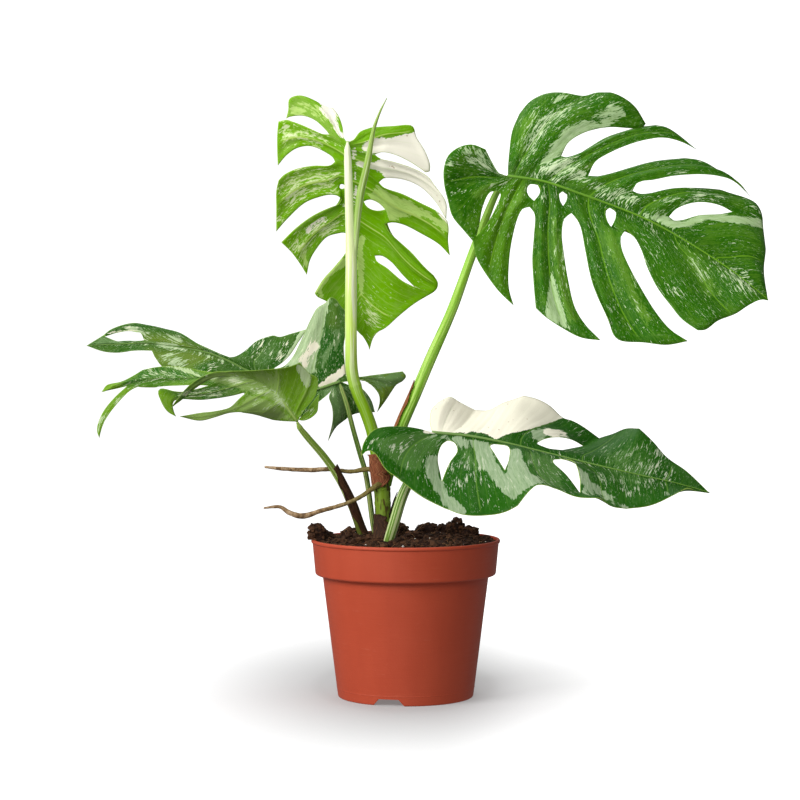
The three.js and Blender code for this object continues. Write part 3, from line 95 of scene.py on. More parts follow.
# Outlines of the leaves in the front view, as x, z, x, z. The nodes are shares of the midrib, the
# columns are how many lie between them, and the depth is the midrib's at even shares. A leaf's sides
# are rows of lobes between seams, and the spans are the nodes where the seams begin. A seam has its
# depths relative to the midrib, and then its parts from the midrib outwards: one line where two lobes
# are joined, and the edges of the lobe before it and of the lobe after it where they part. A margin
# runs between the ends of two seams.
LEAF_A = {
    "nodes": (0, 0.03, 0.11, 0.25, 0.46, 1),
    "columns": (6, 4, 4, 5, 6),
    "depth": (0, 24, 40, 50, 56),
    "midrib": (-52, 498, -50.5, 473.5, -48, 441.5, -45, 409.5, -41, 369.5, -38, 340.5, -32.5, 312),
    "sides": (
        {"spans": (0, 1, 2, 3, 4, 5),
         "seams": (
            ((10,),
             ((), (-55, 501, -56.5, 511, -60, 520.5, -65, 527.5))),
            ((9,), ((-60, 500.5, -68.5, 504.5),),
             ((-71.5, 508.5, -81, 517, -92, 521, -104, 520, -107, 518.5),
              (-74.5, 505, -84, 509, -92, 512.5, -100, 515.5, -106.5, 517.5, -114, 516))),
            ((5, 2), ((-55.5, 480.5, -63.5, 480),),
             ((-65, 483.5, -73, 489, -85.5, 494, -97, 492.5, -106.5, 486, -114.5, 476.5),
              (-67.5, 477, -82.5, 476.5, -98.5, 473.5, -109, 468.5, -114, 463.5))),
            ((1, -3), ((-52, 458, -54, 458.5),),
             ((-56, 462, -59.5, 462, -61.5, 459.5, -61, 457.5, -58.5, 456),
              (-54.5, 457, -56.5, 456, -58.5, 456)), ((-58.5, 452, -57.5, 446.5),),
             ((-59.5, 449.5, -66.5, 451, -77.5, 448.5, -90.5, 443, -106.5, 428.5, -116, 417.5),
              (-60, 442.5, -66.5, 440, -82.5, 432, -98.5, 420.5, -111.5, 408))),
            ((-2, -6), ((-47.5, 410, -51.5, 409.5),),
             ((-54, 416, -62, 415.5, -70, 412.5, -78, 404.5, -86, 392, -89, 379),
              (-53.5, 399.5, -63.5, 387, -74.5, 374.5, -81.5, 362.5))),
         ),
         "margins": (
            (-65, 527.5, -71, 528.5, -84, 535.5, -95, 539, -104, 536, -105, 526.5, -107, 518.5),
            (-114, 516, -115, 505, -115, 489, -114.5, 476.5),
            (-114, 463.5, -116, 454, -116, 438, -116, 417.5),
            (-111.5, 408, -102, 398.5, -94.5, 388, -89, 379),
            (-81.5, 362.5, -79.5, 359.5, -70, 354.5, -54, 340.5, -41, 326, -36, 321.5, -32.5, 312),
         )},
        {"spans": (0, 1, 2, 3, 4, 5),
         "seams": (
            ((12,),
             ((), (-47.5, 499, -41, 506.5, -31.5, 510))),
            ((10, 6), ((-39.5, 489, -27.5, 486.5),),
             ((-21.5, 488.5, -12, 487, 2.5, 480.5, 13.5, 473.5, 18, 470.5, 21.5, 471.5),
              (-23.5, 483, -12, 480.5, 5.5, 475, 20, 467, 27, 458))),
            ((6, 2), ((-37.5, 471.5, -24, 461.5),),
             ((-20, 465, -12, 465.5, 0.5, 463.5, 13.5, 457.5, 26.5, 444.5, 36.5, 428.5),
              (-20, 457.5, -2.5, 451, 13.5, 443, 29.5, 435, 37.5, 427))),
            ((3, -2), ((-43.5, 449.5, -37.5, 444.5),),
             ((-32.5, 446.5, -24, 444, -16.5, 438), (-34.5, 439.5, -25, 436.5, -16.5, 438)),
             ((-14.5, 431, -18.5, 424.5),),
             ((-12, 426, -2.5, 424, 13.5, 416, 29.5, 406.5, 39.5, 396),
              (-16.5, 419, -5.5, 408, 5.5, 398.5, 16.5, 387, 25.5, 378.5))),
            ((-2,), ((-36, 404.5, -27.5, 396),),
             ((-21, 396, -12, 390, -2.5, 379, 8, 368), (-26, 391.5, -17, 385.5, -2.5, 373.5, 8, 368)),
             ((24.5, 363),)),
         ),
         "margins": (
            (-31.5, 510, -12, 512, 6, 512, 9.5, 502, 17.5, 489, 22, 476.5, 21.5, 471.5),
            (27, 458, 32.5, 451, 36.5, 443, 36.5, 428.5),
            (37.5, 427, 38.5, 420.5, 38, 409.5, 39.5, 396),
            (25.5, 378.5, 29, 372, 28, 366.5, 24.5, 363),
            (24.5, 363, 8.5, 353.5, -5.5, 342.5, -18.5, 331, -26.5, 327, -30, 323, -32.5, 312),
         )},
    ),
}
LEAF_B = {
    "nodes": (0, 0.03, 0.09, 0.19, 0.385, 0.56, 1),
    "columns": (6, 3, 4, 4, 4, 5),
    "depth": (11, 6, -4, -20),
    "midrib": (91.5, 467.5, 105.5, 467, 133.5, 459.5, 162, 449.5, 192, 438.5, 214, 429.5, 234, 419.5,
        262, 402.5, 292, 383.5, 325.5, 356.5),
    "sides": (
        {"spans": (0, 2, 3, 4, 5, 6),
         "seams": (
            ((34,),
             ((), (91.5, 473.5, 93, 493, 95.5, 509, 101.5, 523))),
            ((42, 48), ((117.5, 476.5, 139.5, 485.5),),
             ((145.5, 497, 157.5, 505, 169.5, 509, 183.5, 511, 211.5, 510.5, 215, 514),
              (149.5, 483.5, 161.5, 491, 177.5, 501, 193.5, 507, 207.5, 511, 223.5, 512.5))),
            ((44, 50), ((145.5, 462.5, 163.5, 467.5),),
             ((169.5, 479.5, 181.5, 487.5, 201.5, 496, 217.5, 500, 233.5, 502, 247.5, 499, 260.5, 491),
              (173.5, 466.5, 187.5, 469.5, 201.5, 474.5, 221.5, 479, 241.5, 482))),
            ((40, 46), ((188, 447.5, 203.5, 454),),
             ((207.5, 461, 221.5, 463.5, 241.5, 467.5, 265.5, 469, 281.5, 467, 297.5, 461.5, 308.5, 449.5),
              (211.5, 451, 231.5, 453.5, 255.5, 455, 271.5, 454))),
            ((32,), ((222, 427.5, 236, 431),),
             ((242, 437.5, 254, 442.5, 266, 444, 282, 441.5, 293, 435.5),
              (239, 428, 248, 428, 262, 432, 282, 433.5, 293, 435.5)), ((308, 429.5, 320.5, 421.5),)),
         ),
         "margins": (
            (101.5, 523, 111.5, 534, 125.5, 541, 139.5, 542, 159.5, 539.5, 169.5, 542, 181.5, 542.5,
             193.5, 538, 205.5, 529, 215, 514),
            (223.5, 512.5, 233.5, 510.5, 245.5, 503.5, 260.5, 491),
            (241.5, 482, 255.5, 482.5, 267.5, 479.5, 281.5, 471.5, 299.5, 460.5, 308.5, 449.5),
            (271.5, 454, 291.5, 452, 306, 447.5, 314, 442.5, 319, 433.5, 320.5, 421.5),
            (320.5, 421.5, 322.5, 403.5, 321, 383.5, 322.5, 369.5, 325.5, 356.5),
         )},
        {"spans": (0, 1, 2, 3, 4, 6),
         "seams": (
            ((-16,),
             ((), (89.5, 467, 84, 469.5, 77.5, 479.5, 71.5, 491))),
            ((-24,), ((90, 459.5, 83, 454),),
             ((75.5, 452.5, 69, 439.5, 66, 423.5, 63.5, 413.5),
              (85, 451, 80, 437.5, 72, 423.5, 63.5, 413.5)), ((62, 411, 60.5, 409),)),
            ((-34, -38), ((114.5, 463, 115, 460),),
             ((109, 459.5, 109.5, 450.5, 115, 445), (120.5, 459.5, 121, 453.5, 115, 445)),
             ((113.5, 442.5, 111, 439.5),),
             ((105, 438, 101, 431.5, 96, 413.5, 93, 393.5, 92.5, 367.5, 97, 351.5),
              (115.5, 433.5, 115, 413.5, 113.5, 393.5, 115, 369.5, 117, 349.5))),
            ((-42, -48), ((139.5, 455.5, 140.5, 453.5),),
             ((137, 452.5, 137, 445.5, 141, 440.5), (144, 452.5, 144.5, 446.5, 141, 440.5)),
             ((144, 436.5, 148.5, 434),),
             ((142, 429, 140, 417.5, 142, 397.5, 146, 373.5, 152, 349.5, 162, 333.5, 175, 320),
              (156, 425.5, 161, 401.5, 164.5, 383.5, 172, 359.5, 182, 338.5))),
            ((-50, -54), ((181, 441.5, 183, 439),),
             ((178.5, 438.5, 179, 429.5, 184, 421.5), (188, 437.5, 188, 429.5, 184, 421.5)),
             ((190, 417.5, 198.5, 419.5),),
             ((193, 414, 193, 404.5, 200, 387.5, 212, 365.5, 226, 343.5, 238, 329.5, 253.5, 319.5),
              (205, 413.5, 212, 400.5, 216, 387.5, 226, 367.5, 238, 351.5, 248, 339.5, 262.5, 329.5))),
         ),
         "margins": (
            (71.5, 491, 59.5, 495.5, 47.5, 493, 38, 485.5, 34, 473.5, 34.5, 459.5, 38, 445.5, 42, 431.5,
             52, 419, 60.5, 409),
            (60.5, 409, 63, 395.5, 72, 379.5, 84, 363.5, 97, 351.5),
            (117, 349.5, 126, 341, 142, 330.5, 158, 322.5, 175, 320),
            (182, 338.5, 186, 325.5, 192, 320, 214, 318, 234.5, 316, 253.5, 319.5),
            (262.5, 329.5, 269.5, 330, 280.5, 338, 296.5, 344.5, 308, 352, 318, 356.5, 325.5, 356.5),
         )},
    ),
}
LEAF_C = {
    "nodes": (0, 0.06, 0.23, 0.4, 0.68, 1),
    "columns": (6, 5, 5, 5, 5),
    "depth": (-25, -31, -38, -46),
    "midrib": (24, 237.5, 56, 234.5, 85.5, 229, 111, 223, 141, 215.5, 162, 210.5, 204.5, 200.5, 247, 191,
        273.5, 183.5),
    "sides": (
        {"spans": (0, 1, 2, 3, 4, 5),
         "seams": (
            ((30,),
             ((), (21.5, 246.5, 23, 257, 29.5, 265))),
            ((48,), ((49.5, 242, 62.5, 257.5),)),
            ((66,), ((92, 246.5, 106, 270.5),)),
            ((66,), ((123, 223, 117.5, 227.5),),
             ((124, 231.5, 136.5, 233.5, 149.5, 231, 160, 225.5),
              (123, 222.5, 134.5, 221, 147.5, 222.5, 160, 225.5)), ((168.5, 229, 174, 232),)),
            ((44,), ((202.5, 219, 210, 241),)),
         ),
         "margins": (
            (29.5, 265, 40, 269.5, 49.5, 264.5, 62.5, 257.5),
            (62.5, 257.5, 75, 257, 88, 263.5, 106, 270.5),
            (106, 270.5, 117.5, 267.5, 130, 261, 142, 250.5, 149.5, 248, 160, 242, 174, 232),
            (174, 232, 185.5, 235.5, 198, 241, 210, 241),
            (210, 241, 221.5, 229.5, 234.5, 215.5, 251.5, 203.5, 260, 196, 273.5, 183.5),
         )},
        {"spans": (0, 1, 2, 3, 4, 5),
         "seams": (
            ((-40,),
             ((), (7, 242, -7.5, 243, -29, 239.5, -38, 227.5, -40, 216))),
            ((-56,), ((38.5, 233, 37.5, 230),),
             ((32.5, 226, 29, 214.5, 32.5, 193.5), (43.5, 228.5, 46.5, 221, 39.5, 210.5, 32.5, 193.5)),
             ((33, 182.5, 35, 169),)),
            ((-70,), ((82.5, 229, 83, 227),),
             ((75.5, 226.5, 80, 218.5, 89.5, 203), (92.5, 224.5, 93, 213.5, 89.5, 203)),
             ((96.5, 189, 100.5, 171.5),)),
            ((-66,), ((136.5, 216, 140, 213.5),),
             ((132, 212.5, 144, 199.5, 157, 183), (150.5, 211.5, 156, 197.5, 157, 183)),
             ((164.5, 180.5, 175, 178),)),
            ((-44,), ((197, 184.5, 198.5, 168.5),)),
         ),
         "margins": (
            (-40, 216, -34, 221, -28, 218.5, -18, 204, -7.5, 196.5, 13.5, 180.5, 35, 169),
            (35, 169, 52, 163, 77.5, 163.5, 90, 166.5, 100.5, 171.5),
            (100.5, 171.5, 111.5, 184.5, 119.5, 190, 134.5, 187, 153.5, 179.5, 175, 178),
            (175, 178, 185.5, 170.5, 198.5, 168.5),
            (198.5, 168.5, 221.5, 172, 243, 182, 253.5, 187.5, 263, 184.5, 273.5, 183.5),
         )},
    ),
}
LEAF_D = {
    "nodes": (0, 0.008, 0.09, 0.16, 0.22, 0.33, 0.42, 0.7, 0.8, 1),
    "columns": (2, 4, 2, 2, 3, 3, 4, 2, 3),
    "depth": (-22, -28, -26, -23, -25, -30),
    "midrib": (-97.5, 247.5, -110, 265, -122, 277.5, -133.5, 284.5, -149, 288, -169.5, 288.5, -184.5, 287,
        -202.5, 286, -220.5, 286.5, -238.5, 285, -254, 281, -273, 274),
    "sides": (
        {"spans": (0, 2, 4, 5, 6, 7, 9),
         "seams": (
            ((-12,),
             ((), (-89.5, 259.5, -81.5, 269.5, -79, 279))),
            ((-20,), ((-102, 275.5, -95, 300),)),
            ((-24,), ((-129, 289, -134.5, 293.5),)),
            ((-24, -34), ((-153.5, 291.5, -161.5, 292.5),),
             ((), (-172, 292, -182, 288, -193, 280.5, -202, 271, -211, 259.5))),
            ((-34, 4), ((-165, 289),),
             ((-172, 287, -179.5, 283.5, -190, 275.5, -200, 267, -211, 259.5), ())),
            ((8,), ((-231.5, 290, -236, 293.5),)),
         ),
         "margins": (
            (-79, 279, -79.5, 286.5, -86, 290, -95, 300),
            (-95, 300, -107.5, 296, -120, 294.5, -134.5, 293.5),
            (-134.5, 293.5, -148, 293, -161.5, 292.5),
            (-211, 259.5, -211, 259.5),
            (-165, 289, -174, 291.5, -184.5, 293, -193.5, 295, -204.5, 296.5, -214.5, 297, -225, 296,
             -236, 293.5),
            (-236, 293.5, -245, 288, -255, 283, -268.5, 280, -273, 274),
         )},
        {"spans": (0, 1, 2, 3, 4, 5, 7, 8, 9),
         "seams": (
            ((14,),
             ((), (-90, 256, -83.5, 265, -78, 272))),
            ((10, 0),
             ((-91.5, 248, -85, 250.5, -79.5, 256, -78.5, 263, -78, 272), ())),
            ((28,), ((-108.5, 256, -119, 248.5),)),
            ((27, 24), ((-132.5, 263, -148, 256),),
             ((), (-158, 255.5, -171.5, 251, -185, 248, -203, 252))),
            ((22, 10), ((-138, 277.5, -142.5, 274),),
             ((-149, 268.5, -158, 260.5, -171.5, 256.5, -185, 255, -203, 252),
              (-151.5, 271.5, -161.5, 269.5, -170.5, 268, -185, 266.5, -199, 268, -210, 269.5, -213, 265,
               -209, 254))),
            ((8, -8), ((-161.5, 284.5, -177.5, 279.5),),
             ((-189.5, 276, -203, 274, -220, 277, -222.5, 274.5, -220, 265.5, -214.5, 256.5, -206.5, 251.5),
              ())),
            ((-9, -13), ((-234, 282, -240.5, 278.5),),
             ((), (-247.5, 275, -255, 268, -266.5, 254, -273, 242.5, -275.5, 232.5))),
            ((-13, -4), ((-245, 281.5, -250.5, 279),),
             ((-261, 269.5, -271, 257.5, -276.5, 246, -277.5, 238.5, -275.5, 232.5), ())),
         ),
         "margins": (
            (-78, 272, -78, 272),
            (-97.5, 247.5, -109.5, 247.5, -119, 248.5),
            (-119, 248.5, -128, 251.5, -137, 254.5, -148, 256),
            (-203, 252, -203, 252),
            (-209, 254, -206.5, 251.5),
            (-177.5, 279.5, -189.5, 280, -213.5, 279, -229.5, 278, -240.5, 278.5),
            (-275.5, 232.5, -275.5, 232.5),
            (-250.5, 279, -258.5, 277, -265.5, 275.5, -273, 274),
         )},
    ),
}
LEAF_E = {
    "nodes": (0, 0.02, 0.22, 0.42, 0.66, 1),
    "columns": (5, 5, 5, 6, 4),
    "depth": (35, 41, 47, 52, 56, 58),
    "midrib": (-59, 283, -79, 275.5, -99.5, 277.5, -122, 284.5, -140, 292, -158, 301.5, -171, 307,
        -184.5, 311, -202.5, 314, -234, 318, -261, 316.5, -286.5, 315.5),
    "sides": (
        {"spans": (0, 1, 2, 3, 4, 5),
         "seams": (
            ((10,),
             ((), (-48, 283.5, -37.5, 284.5, -24, 272, -23, 265, -25.5, 255.5))),
            ((13, -5), ((-59, 284.5, -53.5, 288),),
             ((-42, 287.5, -30, 289, -14, 291, -2.5, 292.5),
              (-55, 302.5, -55.5, 316, -53.5, 329.5, -53.5, 345.5, -58, 351))),
            ((-6, 4), ((-113, 288, -118.5, 294.5),),
             ((-110, 296.5, -102, 304.5, -95, 318, -86, 337.5),
              (-109.5, 301, -103, 308, -96.5, 318.5, -88.5, 330.5))),
            ((6, 12), ((-158, 305),),
             ((-150.5, 305.5), (-166, 308, -174, 311.5, -184.5, 316, -202.5, 327, -216, 331, -229.5, 334))),
            ((9,), ((-220.5, 317, -235, 320.5),),
             ((-238.5, 327, -253.5, 328.5, -270, 323.5), (-244, 319, -256.5, 319, -270, 323.5)),
             ((-271, 325),)),
         ),
         "margins": (
            (-25.5, 255.5, -17.5, 266.5, -11.5, 275.5, -8, 280, -2.5, 283.5, 0.5, 288, -2.5, 292.5),
            (-58, 351, -62.5, 357, -67, 359, -72.5, 353.5, -79.5, 349, -86, 337.5),
            (-88.5, 330.5, -104, 326, -113.5, 323, -118, 324.5, -124.5, 323, -133.5, 319.5, -140, 314,
             -150.5, 305.5),
            (-229.5, 334, -243, 336, -254.5, 334, -265.5, 329.5, -271, 325),
            (-271, 325, -278, 320.5, -286.5, 315.5),
         )},
        {"spans": (0, 1, 2, 3, 4, 5),
         "seams": (
            ((16,),
             ((), (-48, 279, -39, 276.5, -31, 266.5, -27.5, 255.5))),
            ((12, -7), ((-64.5, 278.5, -67, 274.5),),
             ((-69, 269.5, -66, 259.5, -65.5, 248.5, -69.5, 229.5), (-72.5, 269.5, -79, 265, -84, 260.5))),
            ((-15,), ((-109.5, 269.5, -116.5, 262),)),
            ((-17, -12), ((-148, 294.5, -150.5, 292.5),),
             ((-146, 288, -145, 281, -147, 274), (-159.5, 292.5, -167, 289, -172, 283.5))),
            ((-8,), ((-213.5, 311.5, -228, 310.5),)),
         ),
         "margins": (
            (-27.5, 255.5, -39.5, 255, -47.5, 253, -55.5, 247.5, -62.5, 241.5, -69.5, 229.5),
            (-84, 260.5, -92.5, 251.5, -104, 256, -116.5, 262),
            (-116.5, 262, -129, 265.5, -140, 269.5, -147, 274),
            (-172, 283.5, -185, 285.5, -201, 290, -218, 296, -225, 304.5, -228, 310.5),
            (-228, 310.5, -243, 311, -258.5, 309, -271, 310, -280.5, 313, -286.5, 315.5),
         )},
    ),
}

# Fields of colour on the blades in the front view: kind, amount, feather and outline as x, z, x, z.
# The soft fields are a grey-green that is partly the leaf's own colour and partly a painted sheen
# where the blade catches light.
PATCHES = {
    "leaf_a": (
        ("cream", 1, 3, -32, 499, -14, 502, 10, 506, 28, 478, 26, 464, 3, 471, -10, 483, -25, 487, -41, 487,
            -40, 495),
        ("cream", 1, 3, -46, 482, -28, 480, -14, 486, 4, 482, 26, 471, 44, 443, 42, 422, 22, 440, 2, 458,
            -14, 465, -25, 473, -45, 475),
        ("pale", 0.95, 5, -37, 451, -25, 457, -7, 449, 18, 438, 40, 425, 40, 415, 22, 425, 2, 432, -14, 430,
            -21, 440),
        ("pale", 0.56, 6, -105, 538, -89, 539, -77, 532, -62, 529, -53, 499, -70, 504, -82, 515, -107, 518),
        ("cream", 0.9, 4, -77, 532, -66, 527, -55, 501, -61, 504, -68, 516, -75, 525),
        ("pale", 0.45, 8, -114, 518, -89, 515, -55, 495, -55, 486, -68, 492, -96, 499, -114, 479),
        ("fleck", 0.6, 8, -116, 518, -86, 515, -55, 495, -55, 486, -68, 491, -96, 495, -116, 477),
        ("fleck", 0.6, 8, -118, 466, -68, 479, -55, 472, -62, 454, -86, 447, -118, 416),
        ("pale", 0.3, 10, -118, 466, -95, 472, -62, 463, -62, 454, -86, 452, -118, 434),
        ("fleck", 0.55, 8, -113, 407, -79, 434, -53, 441, -54, 416, -77, 407, -89, 379),
        ("cream", 0.5, 4, -81, 432, -55, 440, -54, 432, -75, 425, -89, 413, -95, 412),
        ("pale", 1, 2.5, -98, 406, -88, 407, -87, 381, -93, 391),
        ("pale", 1, 2.5, -83, 363, -70, 383, -54, 399, -53, 388, -68, 377, -77, 363),
        ("pale", 0.55, 6, -83, 364, -68, 362, -53, 363, -53, 355, -79, 358),
        ("pale", 0.9, 3, -44, 411, -38, 413, -37, 359, -43, 359),
        ("cream", 0.6, 3, -49, 497, -43, 497, -42, 449, -45, 434, -48, 449),
        ("fleck", 0.55, 8, -41, 363, -24, 357, -19, 329, -32, 323, -40, 343),
        ("fleck", 0.22, 12, -43, 416, -21, 413, 15, 366, -21, 334, -41, 370),
        ("tone", 0.55, 5, -48, 504, -28, 512, 7, 513, 9, 501, -14, 504, -32, 501, -46, 497),
        ("soft_green_and_sheen", 0.8, 6, -110, 510, -98, 510, -78, 505, -62, 498, -54, 491, -68, 495, -89, 502, -112, 482),
        ("soft_green_and_sheen", 0.7, 6, -112, 467, -95, 474, -68, 476, -61, 466, -79, 466, -98, 455, -114, 441),
        ("soft_green_and_sheen", 0.7, 6, -104, 426, -86, 441, -61, 446, -61, 435, -79, 430, -91, 417, -97, 407),
        ("soft_green_and_sheen", 0.6, 5, -79, 364, -66, 371, -57, 378, -57, 365, -68, 360),
        ("soft_green_and_sheen", 0.85, 6, -109, 515, -103, 538, -92, 540, -77, 528, -63, 512, -55, 491, -68, 499, -78, 513,
            -95, 519),
    ),
    "leaf_b": (
        ("pale", 0.95, 4, 116, 473, 130, 493, 144, 512, 160, 517, 174, 515, 192, 528, 196, 521, 182, 511,
            170, 509, 158, 504, 146, 495, 140, 487, 128, 479),
        ("pale", 0.8, 4, 129, 533, 140, 543, 150, 542, 137, 531),
        ("pale", 0.5, 6, 106, 517, 116, 527, 118, 521, 110, 509),
        ("fleck", 0.64, 10, 102, 467, 142, 489, 166, 475, 166, 465, 206, 457, 212, 435, 192, 441, 162, 453,
            134, 462),
        ("pale", 0.36, 8, 108, 467, 142, 486, 166, 477, 165, 465, 202, 453, 192, 442, 162, 454, 134, 463),
        ("pale", 1, 2, 214, 431, 234, 433, 237, 428, 248, 427, 262, 432, 282, 434, 320, 428, 322, 420,
            292, 425, 270, 428, 252, 421, 238, 420, 226, 426),
        ("pale", 0.7, 4, 208, 435, 233, 437, 234, 432, 214, 431),
        ("pale", 1, 3, 131, 383, 143, 341, 148, 329, 125, 340, 126, 357),
        ("pale", 0.6, 5, 34, 477, 50, 495, 70, 495, 82, 469, 72, 475, 56, 484, 38, 473),
        ("fleck", 0.6, 8, 32, 469, 50, 495, 74, 493, 84, 467, 52, 473),
        ("pale", 0.8, 3, 69, 493, 74, 487, 88, 467, 82, 469, 72, 483),
        ("fleck", 0.6, 12, 258, 401, 288, 393, 326, 361, 306, 357, 288, 369),
        ("pale", 0.45, 8, 286, 383, 322, 363, 306, 358, 296, 369),
        ("fleck", 0.5, 14, 102, 517, 130, 541, 181, 541, 162, 517, 134, 503, 108, 469, 94, 469),
        ("fleck", 0.5, 12, 128, 429, 142, 425, 150, 353, 170, 321, 134, 373),
        ("fleck", 0.45, 12, 232, 413, 272, 401, 282, 353, 252, 373),
        ("fleck", 0.4, 12, 142, 487, 218, 511, 260, 493, 222, 503, 166, 477),
        ("fleck", 0.5, 12, 202, 453, 282, 455, 320, 441, 318, 425, 282, 441, 222, 433),
        ("tone", 0.45, 14, 90, 465, 106, 459, 98, 409, 90, 357, 62, 401, 70, 441),
        ("fleck", 0.26, 40, 22, 497, 142, 553, 241, 523, 342, 433, 334, 313, 82, 313, 34, 413),
        ("soft_green_and_sheen", 0.8, 5, 58, 452, 74, 462, 84, 462, 76, 455, 70, 447, 58, 446),
        ("soft_green_and_sheen", 0.85, 4, 86, 434, 102, 454, 107, 462, 108, 449, 102, 440, 96, 434, 88, 428),
        ("soft_green_and_sheen", 0.65, 5, 129, 433, 138, 432, 144, 390, 156, 338, 144, 329, 135, 365, 130, 401),
        ("soft_green_and_sheen", 0.85, 5, 176, 427, 187, 417, 195, 399, 208, 363, 222, 338, 216, 333, 203, 354, 190, 382,
            179, 405),
        ("soft_green_and_sheen", 0.7, 6, 102, 518, 116, 525, 123, 521, 115, 510, 109, 498, 109, 482, 102, 479, 99, 487),
        ("soft_green_and_sheen", 0.7, 8, 242, 411, 261, 399, 277, 376, 284, 359, 269, 359, 254, 382),
        ("soft_green_and_sheen", 0.6, 6, 138, 473, 165, 482, 210, 499, 235, 507, 210, 491, 174, 474, 156, 462),
        ("pale", 0.66, 4, 127, 474, 143, 493, 156, 510, 170, 524, 185, 532, 195, 532, 194, 519, 179, 518,
            165, 514, 152, 503, 139, 488, 131, 471),
    ),
    "leaf_c": (
        ("cream", 1, 1.5, 17, 237, 15, 257, 27, 272, 40, 277, 58, 264, 78, 265, 102, 280, 123, 272,
            146, 253, 130, 246, 110, 240, 94, 236, 82, 231, 68, 237, 54, 237, 38, 237),
        ("pale", 0.97, 3, 18, 215, 29, 219, 31, 200, 39, 180, 54, 168, 53, 162, 40, 167, 26, 184, 16, 204),
        ("pale", 0.97, 3, 57, 231, 75, 229, 82, 210, 90, 202, 93, 222, 103, 222, 107, 211, 122, 191,
            104, 180, 96, 175, 78, 194, 66, 210),
        ("pale", 0.6, 4, 20, 236, 48, 235, 59, 229, 54, 220, 42, 221, 33, 231),
        ("pale", 0.75, 6, 151, 210, 166, 200, 184, 184, 199, 168, 184, 170, 176, 179, 159, 182, 155, 196),
        ("fleck", 0.5, 6, 151, 212, 170, 200, 188, 184, 199, 168, 174, 176, 158, 182),
        ("pale", 0.9, 2.5, 114, 239, 124, 241, 145, 238, 147, 231, 128, 234, 120, 229, 114, 232),
        ("cream", 0.9, 2.5, 124, 240, 144, 238, 145, 233, 126, 234),
        ("fleck", 0.46, 10, 172, 226, 224, 234, 258, 204, 244, 186, 198, 172, 166, 200),
        ("pale", 0.28, 8, 190, 200, 234, 192, 238, 184, 204, 172, 190, 186),
        ("fleck", 0.45, 8, 0, 230, 20, 235, 21, 214, 6, 210),
        ("fleck", 0.44, 25, -40, 244, 14, 240, 94, 232, 174, 230, 234, 196, 194, 168, 94, 164, 14, 176,
            -34, 220),
        ("fleck", 0.5, 8, 140, 250, 166, 244, 172, 230, 154, 230, 142, 240),
        ("soft_green_and_sheen", 0.9, 4, -28, 230, -7, 235, 14, 238, 33, 233, 29, 225, 28, 218, 16, 214, 13, 202, 2, 202,
            -12, 212, -24, 221),
        ("soft_green_and_sheen", 0.75, 6, 47, 221, 58, 225, 66, 214, 74, 202, 62, 202, 51, 212),
        ("soft_green_and_sheen", 0.9, 4, 105, 221, 129, 216, 139, 206, 141, 184, 120, 193, 112, 208),
        ("soft_green_and_sheen", 0.6, 10, 175, 222, 211, 231, 229, 204, 211, 181, 175, 195),
    ),
    "leaf_d": (
        ("tone", 0.08, 4, -254, 281, -233, 296, -215, 299, -192, 294, -176, 289, -176, 281, -208, 281,
            -224, 277, -242, 280),
        ("tone", 0.12, 4, -192, 286, -178, 288, -152, 284, -131, 272, -142, 272, -167, 280, -185, 281),
        ("tone", 0.15, 4, -221, 278, -208, 276, -154, 280, -151, 275, -178, 267, -203, 267),
        ("pale", 0.8, 2.5, -216, 300, -199, 296, -176, 289, -178, 286, -196, 292, -215, 297),
        ("fleck", 0.45, 6, -254, 279, -233, 296, -192, 294, -138, 276, -167, 280, -208, 281, -239, 279),
        ("pale", 0.6, 3, -160, 285, -140, 281, -138, 276, -156, 281),
        ("pale", 0.95, 2.5, -98, 299, -90, 296, -84, 288, -89, 275, -95, 289),
        ("pale", 0.3, 5, -185, 248, -181, 253, -156, 259, -138, 273, -111, 265, -101, 250, -131, 254,
            -154, 258),
        ("pale", 0.35, 5, -100, 250, -79, 270, -79, 258, -84, 249),
        ("pale", 0.45, 4, -278, 231, -276, 250, -258, 268, -244, 278, -248, 272, -266, 258),
        ("fleck", 0.3, 8, -178, 290, -138, 293, -113, 279, -102, 254, -131, 272),
        ("soft_green_and_sheen", 0.8, 6, -142, 292, -113, 293, -109, 270, -99, 250, -126, 277, -137, 286),
        ("soft_green_and_sheen", 0.9, 3, -153, 258, -142, 272, -126, 268, -106, 254, -100, 249, -117, 249, -132, 252),
        ("pale", 0.3, 3, -152, 258, -140, 268, -129, 265, -109, 252, -132, 255),
        ("tone", 0, 1.5, -208, 276, -194, 276, -176, 279, -156, 281, -147, 277, -156, 269, -176, 267,
            -194, 267, -205, 268),
        ("fleck", 0.55, 3, -208, 276, -194, 276, -176, 279, -156, 281, -147, 277, -156, 269, -176, 267,
            -194, 267, -205, 268),
        ("soft_green_and_sheen", 0.85, 3, -204, 268, -180, 289, -164, 293, -143, 291, -122, 281, -108, 268, -99, 250,
            -117, 265, -137, 272, -160, 279, -178, 284, -190, 278, -202, 268),
        ("soft_green_and_sheen", 0.9, 3, -205, 253, -185, 257, -162, 263, -149, 268, -151, 257, -171, 249, -185, 247),
        ("pale", 0.45, 3, -204, 268, -180, 289, -164, 293, -143, 291, -122, 281, -108, 268, -99, 250,
            -117, 265, -137, 272, -160, 279, -178, 284, -190, 278, -202, 268),
        ("tone", 0.1, 2.5, -175, 287, -155, 288, -139, 282, -142, 278, -158, 280, -172, 283),
        ("fleck", 0.75, 3, -172, 286, -155, 287, -140, 282, -143, 279, -158, 281),
        ("tone", 0, 3, -253, 280, -237, 294, -221, 299, -197, 294, -178, 288, -185, 285, -206, 285,
            -230, 284),
        ("tone", 0.3, 3, -249, 279, -230, 284, -215, 285, -199, 285, -206, 281, -223, 277, -239, 278),
        ("fleck", 0.5, 4, -251, 281, -235, 292, -219, 295, -185, 286, -206, 286, -230, 285),
